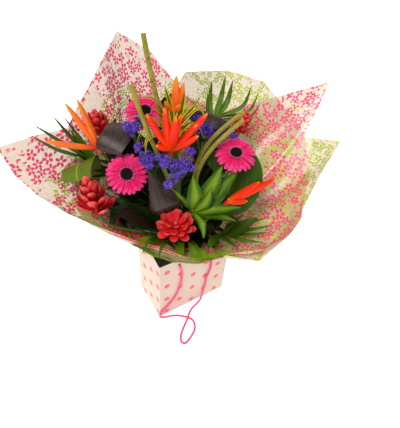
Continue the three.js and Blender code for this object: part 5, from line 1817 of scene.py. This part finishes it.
class BOUQUET_OT_leaves(bpy.types.Operator):
    """Make the broad leaves on their stalks, some of them rolled over"""
    bl_idname = "bouquet.leaves"
    bl_label = "Broad Leaves"

    def execute(self, context):
        for number, (name, kind, slot, face, points, width, curl) in enumerate(LEAVES):
            finish, record_slot = LOOKS[kind]
            line = Line.through(points)
            along = line.heading(np.array([0.0]))[0]
            stalk = whole_stem(slot, stem_line(slot, line.points[0] + along * 3, along, lean=0.25))
            shape = Shape()
            shape.tube(stalk, profile(((0, 2), (1, 1.5))), sides=12, steps=50, tone=0.3)
            # the leaves on the left keep their colour; the others are darkened by their tone as
            # painted shade, away from the key light on the left
            shape.blade(line, profile(width, 0.12), face, curl=profile(curl, 0.1), across=22,
                        steps=56, thick=0.9, rib=0.3 if kind == "cordyline" else 0.9,
                        ripple=0.6, ripples=1.4, phase=number, tone=0.05 if "left" in name else 0.6)
            piece = shape.piece(f"{name}_leaf")
            settle(piece, finish, [name])
        return {"FINISHED"}


def leaf_outline(width):
    """The width of a leaf on a narrow foot, from its foot to its tip."""
    table = ((0, 2.2), (0.3, width), (0.62, width * 0.84), (0.86, width * 0.4), (1, 0.3))
    return profile(table, 0.12)


def sprig_shape(slot, top, axis, lean, radius, begin, blades, seed):
    """A leafy stem: every blade starts on the stem."""
    bend = stem_line(slot, top, axis, lean)
    shape = Shape()
    shape.tube(whole_stem(slot, bend), profile(((0, radius), (1, radius * 0.8))), sides=12,
               steps=50, tone=0.3)
    chance = np.random.default_rng(seed)
    for on, points, width, *face in blades:
        share = min(begin + (1 - begin) * on, 1 - 2 / bend.length)
        foot = bend.at(share)
        line = Line.through([foot, *points])
        face = face[0] if face else UPWARD
        phase = chance.uniform(0, 6)
        if width < NARROW:
            shape.blade(line, leaf_outline(width * 1.4), face, curl=-0.55, across=6, steps=22,
                        rib=0.5, tone=chance.uniform(0.0, 0.3))
        else:
            shape.blade(line, leaf_outline(width * 1.12), face, curl=-0.75, across=14, steps=34,
                        rib=1.1, ripple=0.9, phase=phase, tone=chance.uniform(0.0, 0.6))
    return shape


class BOUQUET_OT_sprigs(bpy.types.Operator):
    """Make the leafy sprigs: the striped rosette, palm fronds, croton and low foliage"""
    bl_idname = "bouquet.sprigs"
    bl_label = "Sprigs and Fronds"

    def execute(self, context):
        for seed, (name, kind, slot, top, axis, lean, radius, begin, blades) in enumerate(SPRIGS):
            finish, record_slot = LOOKS[kind]
            shape = sprig_shape(slot, top, axis, lean, radius, begin, blades, seed)
            piece = shape.piece(f"{name}_leaves")
            settle(piece, finish, [name])
        return {"FINISHED"}


def film_radius(azimuth, height):
    """How far the film lies from the tie's axis, at an azimuth and a height."""
    angles, belly, rim, _ = film_lengths()
    radius, level = ([np.interp(azimuth, angles, flared(t, belly, rim, k), period=360)
                      for t in np.linspace(0, 1, 30)] for k in (0, 1))
    return float(np.interp(height, np.maximum.accumulate(level), radius))


SHORTEST_LEAF = 40


def tucked(foot, tip):
    """Whether a leaf between two points stays inside the film and below the blooms."""
    for spot in (tip, (foot + tip) / 2):
        far = math.hypot(spot[0], spot[1])
        azimuth = math.degrees(math.atan2(spot[1], spot[0]))
        bare_floor = -180 < azimuth < -108 and far > 30 and spot[2] < 244
        over = spot[2] > 246 + 0.8 * (spot[1] + 60)
        if bare_floor or over or far > film_radius(azimuth, spot[2]) - 12:
            return False
    return True


class BOUQUET_OT_undergrowth(bpy.types.Operator):
    """Tuck leaves between the stems, each growing from a flower's stem, painted near black as painted
    shade
    """
    bl_idname = "bouquet.undergrowth"
    bl_label = "Shaded Leaves"

    def execute(self, context):
        flowers = context.scene.bouquet_flowers
        stems = [(row[1], row[2], row[3]) for row in (*GERBERAS, *GINGERS, *HELICONIAS, *STATICES)]
        stems += [(row[3], row[4], row[2]) for row in SPRIGS]
        chance = np.random.default_rng(8)
        shape = Shape()
        for place, axis, slot in stems:
            bend = stem_line(slot, np.array(place, float) - unit(axis) * 12, axis, 0.3)
            for share in np.linspace(0.12, 0.92, flowers.shaded_leaves):
                foot = bend.at(share)
                turn = chance.uniform(0, 2 * math.pi)
                way = unit((math.cos(turn), math.sin(turn), chance.uniform(0.1, 1.1)))
                size = chance.uniform(60, 130)
                while size > SHORTEST_LEAF and not tucked(foot, foot + way * size):
                    size -= 12
                if size > SHORTEST_LEAF:
                    middle = foot + way * size * 0.5 + (0, 0, size * 0.09)
                    line = Line.through([foot, middle, foot + way * size])
                    wide = size * chance.uniform(0.24, 0.42)
                    table = ((0, 1.5), (0.3, wide), (0.6, wide * 0.8), (0.86, wide * 0.35), (1, 0.3))
                    shape.blade(line, profile(table, 0.12), UPWARD, curl=-0.8, across=6, steps=14,
                                thick=0.5, rib=0.8, ripple=0.8, phase=turn,
                                tone=chance.uniform(0, 0.9))
        for points, wide in LARGE_SHADE_PAINTED:
            shape.blade(Line.through(points), leaf_outline(wide), (-0.4, -0.6, 0.7), curl=-0.75,
                        across=14, steps=34, rib=1.1, ripple=0.9, tone=0.2)
        piece = shape.piece("shaded_leaves")
        settle(piece, "shade_painted_leaf")
        straps = Shape()
        for slot, spots in STRAPS:
            line = [at_tie(slot) + (0, 0, STEM_TOP)]
            for azimuth, height in ((spots[0][0], None), *spots):
                turn = math.radians(azimuth)
                radius = 38 if height is None else film_radius(azimuth, height) - 5
                line.append((radius * math.cos(turn), radius * math.sin(turn), height or 203))
            face = -unit((*line[2][:2], -60))
            straps.blade(Line.through(line), profile(((0, 3), (0.3, 19), (0.75, 17), (1, 0.4))), face,
                         curl=-0.7, across=8, steps=40, thick=0.6, rib=0.8, tone=0.1)
        piece = straps.piece("strap_leaves")
        settle(piece, "strap")
        return {"FINISHED"}


class BOUQUET_OT_canes(bpy.types.Operator):
    """Make the bare canes with their cut ends"""
    bl_idname = "bouquet.canes"
    bl_label = "Canes"

    def execute(self, context):
        for name, slot, tip, axis, lean, lift in CANES:
            swell = ((0, 2.9), (0.4, 4.1), (0.93, 4.3), (0.972, 4.7), (0.98, 4.3), (1, 4.4))
            stem_piece(f"{name}_cut", slot, tip, axis, swell, lean, lift, "cane", [name])
        return {"FINISHED"}


# ------------------------------------------------------------------ the stage

def lamp(name, place, target, size, power, kind="AREA"):
    """A soft studio light that looks at a target."""
    data = bpy.data.lights.new(name, kind)
    if kind == "AREA":
        data.shape = "RECTANGLE"
        data.size, data.size_y = size
    data.energy = power
    made = bpy.data.objects.new(name, data)
    made.location = place
    made.rotation_mode = "QUATERNION"
    made.rotation_quaternion = (Vector(target) - Vector(place)).to_track_quat("-Z", "Y")
    bpy.context.scene.collection.objects.link(made)
    return made


CAMERA_PLACE = (-0.2936, -0.4611, 0.7435)
WHITE = (1, 1, 1)


def pale_floor():
    """A wide round floor, almost white."""
    floor = bpy.data.meshes.new("floor")
    turn = np.linspace(0, 2 * math.pi, 96, endpoint=False)
    floor.from_pydata(cylinder(9, turn, turn * 0).tolist(), [], [list(range(len(turn)))])
    white = Paint("pale_floor", Roughness=0.9, Specular_IOR_Level=0.1, Emission_Color=WHITE,
                  Emission_Strength=0.5)
    cloud = white.noise(1.5, 1)
    floor.materials.append(white.set(Base_Color=white.mix(cloud, (0.97,) * 3, (0.985,) * 3)))
    show("floor", floor)


def studio_lights(scene, strength):
    """A pale world, a soft key light from the left and two dim fills."""
    world = bpy.data.worlds.new("studio")
    world.use_nodes = True
    background = world.node_tree.nodes["Background"]
    background.inputs["Color"].default_value = (*WHITE, 1)
    background.inputs["Strength"].default_value = 0.42 * strength
    scene.world = world
    sun = lamp("key", (-1.1, -0.45, 1.6), (0, 0, 0), (1, 1), 2.1 * strength, "SUN")
    sun.data.angle = math.radians(28)
    lamp("fill", (1.5, -0.9, 1.5), (0, 0, 0.3), (1.2, 1.2), 4 * strength)
    lamp("back", (0.5, 1.7, 1.6), (0, 0, 0.35), (1.4, 0.5), 7 * strength)


def studio_camera(scene, stage):
    """The camera, turned and rolled as the stage says."""
    data = bpy.data.cameras.new("camera")
    data.lens = stage.lens
    data.sensor_width = 36
    data.clip_start, data.clip_end = 0.01, 60
    camera = bpy.data.objects.new("camera", data)
    azimuth, elevation, roll = stage.camera_azimuth, stage.camera_elevation, stage.camera_roll
    back = Vector((math.sin(azimuth) * math.cos(elevation),
                   -math.cos(azimuth) * math.cos(elevation), math.sin(elevation)))
    right = Vector((math.cos(azimuth), math.sin(azimuth), 0))
    side = right * math.cos(roll) + back.cross(right) * math.sin(roll)
    axes = Matrix((side, back.cross(side), back)).transposed().to_4x4()
    camera.matrix_world = Matrix.Translation(CAMERA_PLACE) @ axes
    scene.collection.objects.link(camera)
    scene.camera = camera


class BOUQUET_OT_stage(bpy.types.Operator):
    """Set the pale floor, the soft studio lights and the camera"""
    bl_idname = "bouquet.stage"
    bl_label = "Studio Stage"

    def execute(self, context):
        scene = context.scene
        pale_floor()
        studio_lights(scene, scene.bouquet_stage.light)
        studio_camera(scene, scene.bouquet_stage)
        scene.view_settings.view_transform = "Standard"
        return {"FINISHED"}


# ------------------------------------------------------------------ the add-on

class BOUQUET_PT_panel(bpy.types.Panel):
    """The bouquet's sizes, colours and pieces"""
    bl_idname = "BOUQUET_PT_panel"
    bl_label = "Wrapped Bouquet"
    bl_space_type = "VIEW_3D"
    bl_region_type = "UI"
    bl_category = "Bouquet"

    def draw(self, context):
        layout = self.layout
        scene = context.scene
        groups = ((scene.bouquet_bag, "Gift bag"), (scene.bouquet_film, "Film"),
                  (scene.bouquet_flowers, "Flowers"), (scene.bouquet_colours, "Colours"),
                  (scene.bouquet_stage, "Stage"))
        for group, title in groups:
            box = layout.box()
            box.label(text=title)
            for word in group.bl_rna.properties.keys():
                if word not in ("rna_type", "name"):
                    box.prop(group, word)
        for operator in OPERATORS:
            layout.operator(operator.bl_idname)


GROUPS = {
    "bouquet_bag": BouquetBagSettings, "bouquet_film": BouquetFilmSettings,
    "bouquet_flowers": BouquetFlowerSettings, "bouquet_colours": BouquetColours,
    "bouquet_stage": BouquetStageSettings,
}
OPERATORS = (
    BOUQUET_OT_stage, BOUQUET_OT_handle, BOUQUET_OT_bag, BOUQUET_OT_film, BOUQUET_OT_tie,
    BOUQUET_OT_water, BOUQUET_OT_gerberas, BOUQUET_OT_gingers, BOUQUET_OT_heliconias,
    BOUQUET_OT_statices, BOUQUET_OT_leaves, BOUQUET_OT_sprigs,
    BOUQUET_OT_undergrowth, BOUQUET_OT_canes,
)


def register():
    for kind in (*GROUPS.values(), *OPERATORS, BOUQUET_PT_panel):
        bpy.utils.register_class(kind)
    for word, kind in GROUPS.items():
        setattr(bpy.types.Scene, word, bpy.props.PointerProperty(type=kind))


def unregister():
    for word in GROUPS:
        delattr(bpy.types.Scene, word)
    for kind in (BOUQUET_PT_panel, *reversed(OPERATORS), *reversed(list(GROUPS.values()))):
        bpy.utils.unregister_class(kind)


def main():
    register()
    for operator in OPERATORS:
        group, word = operator.bl_idname.split(".")
        getattr(getattr(bpy.ops, group), word)()


if __name__ == "__main__":
    main()
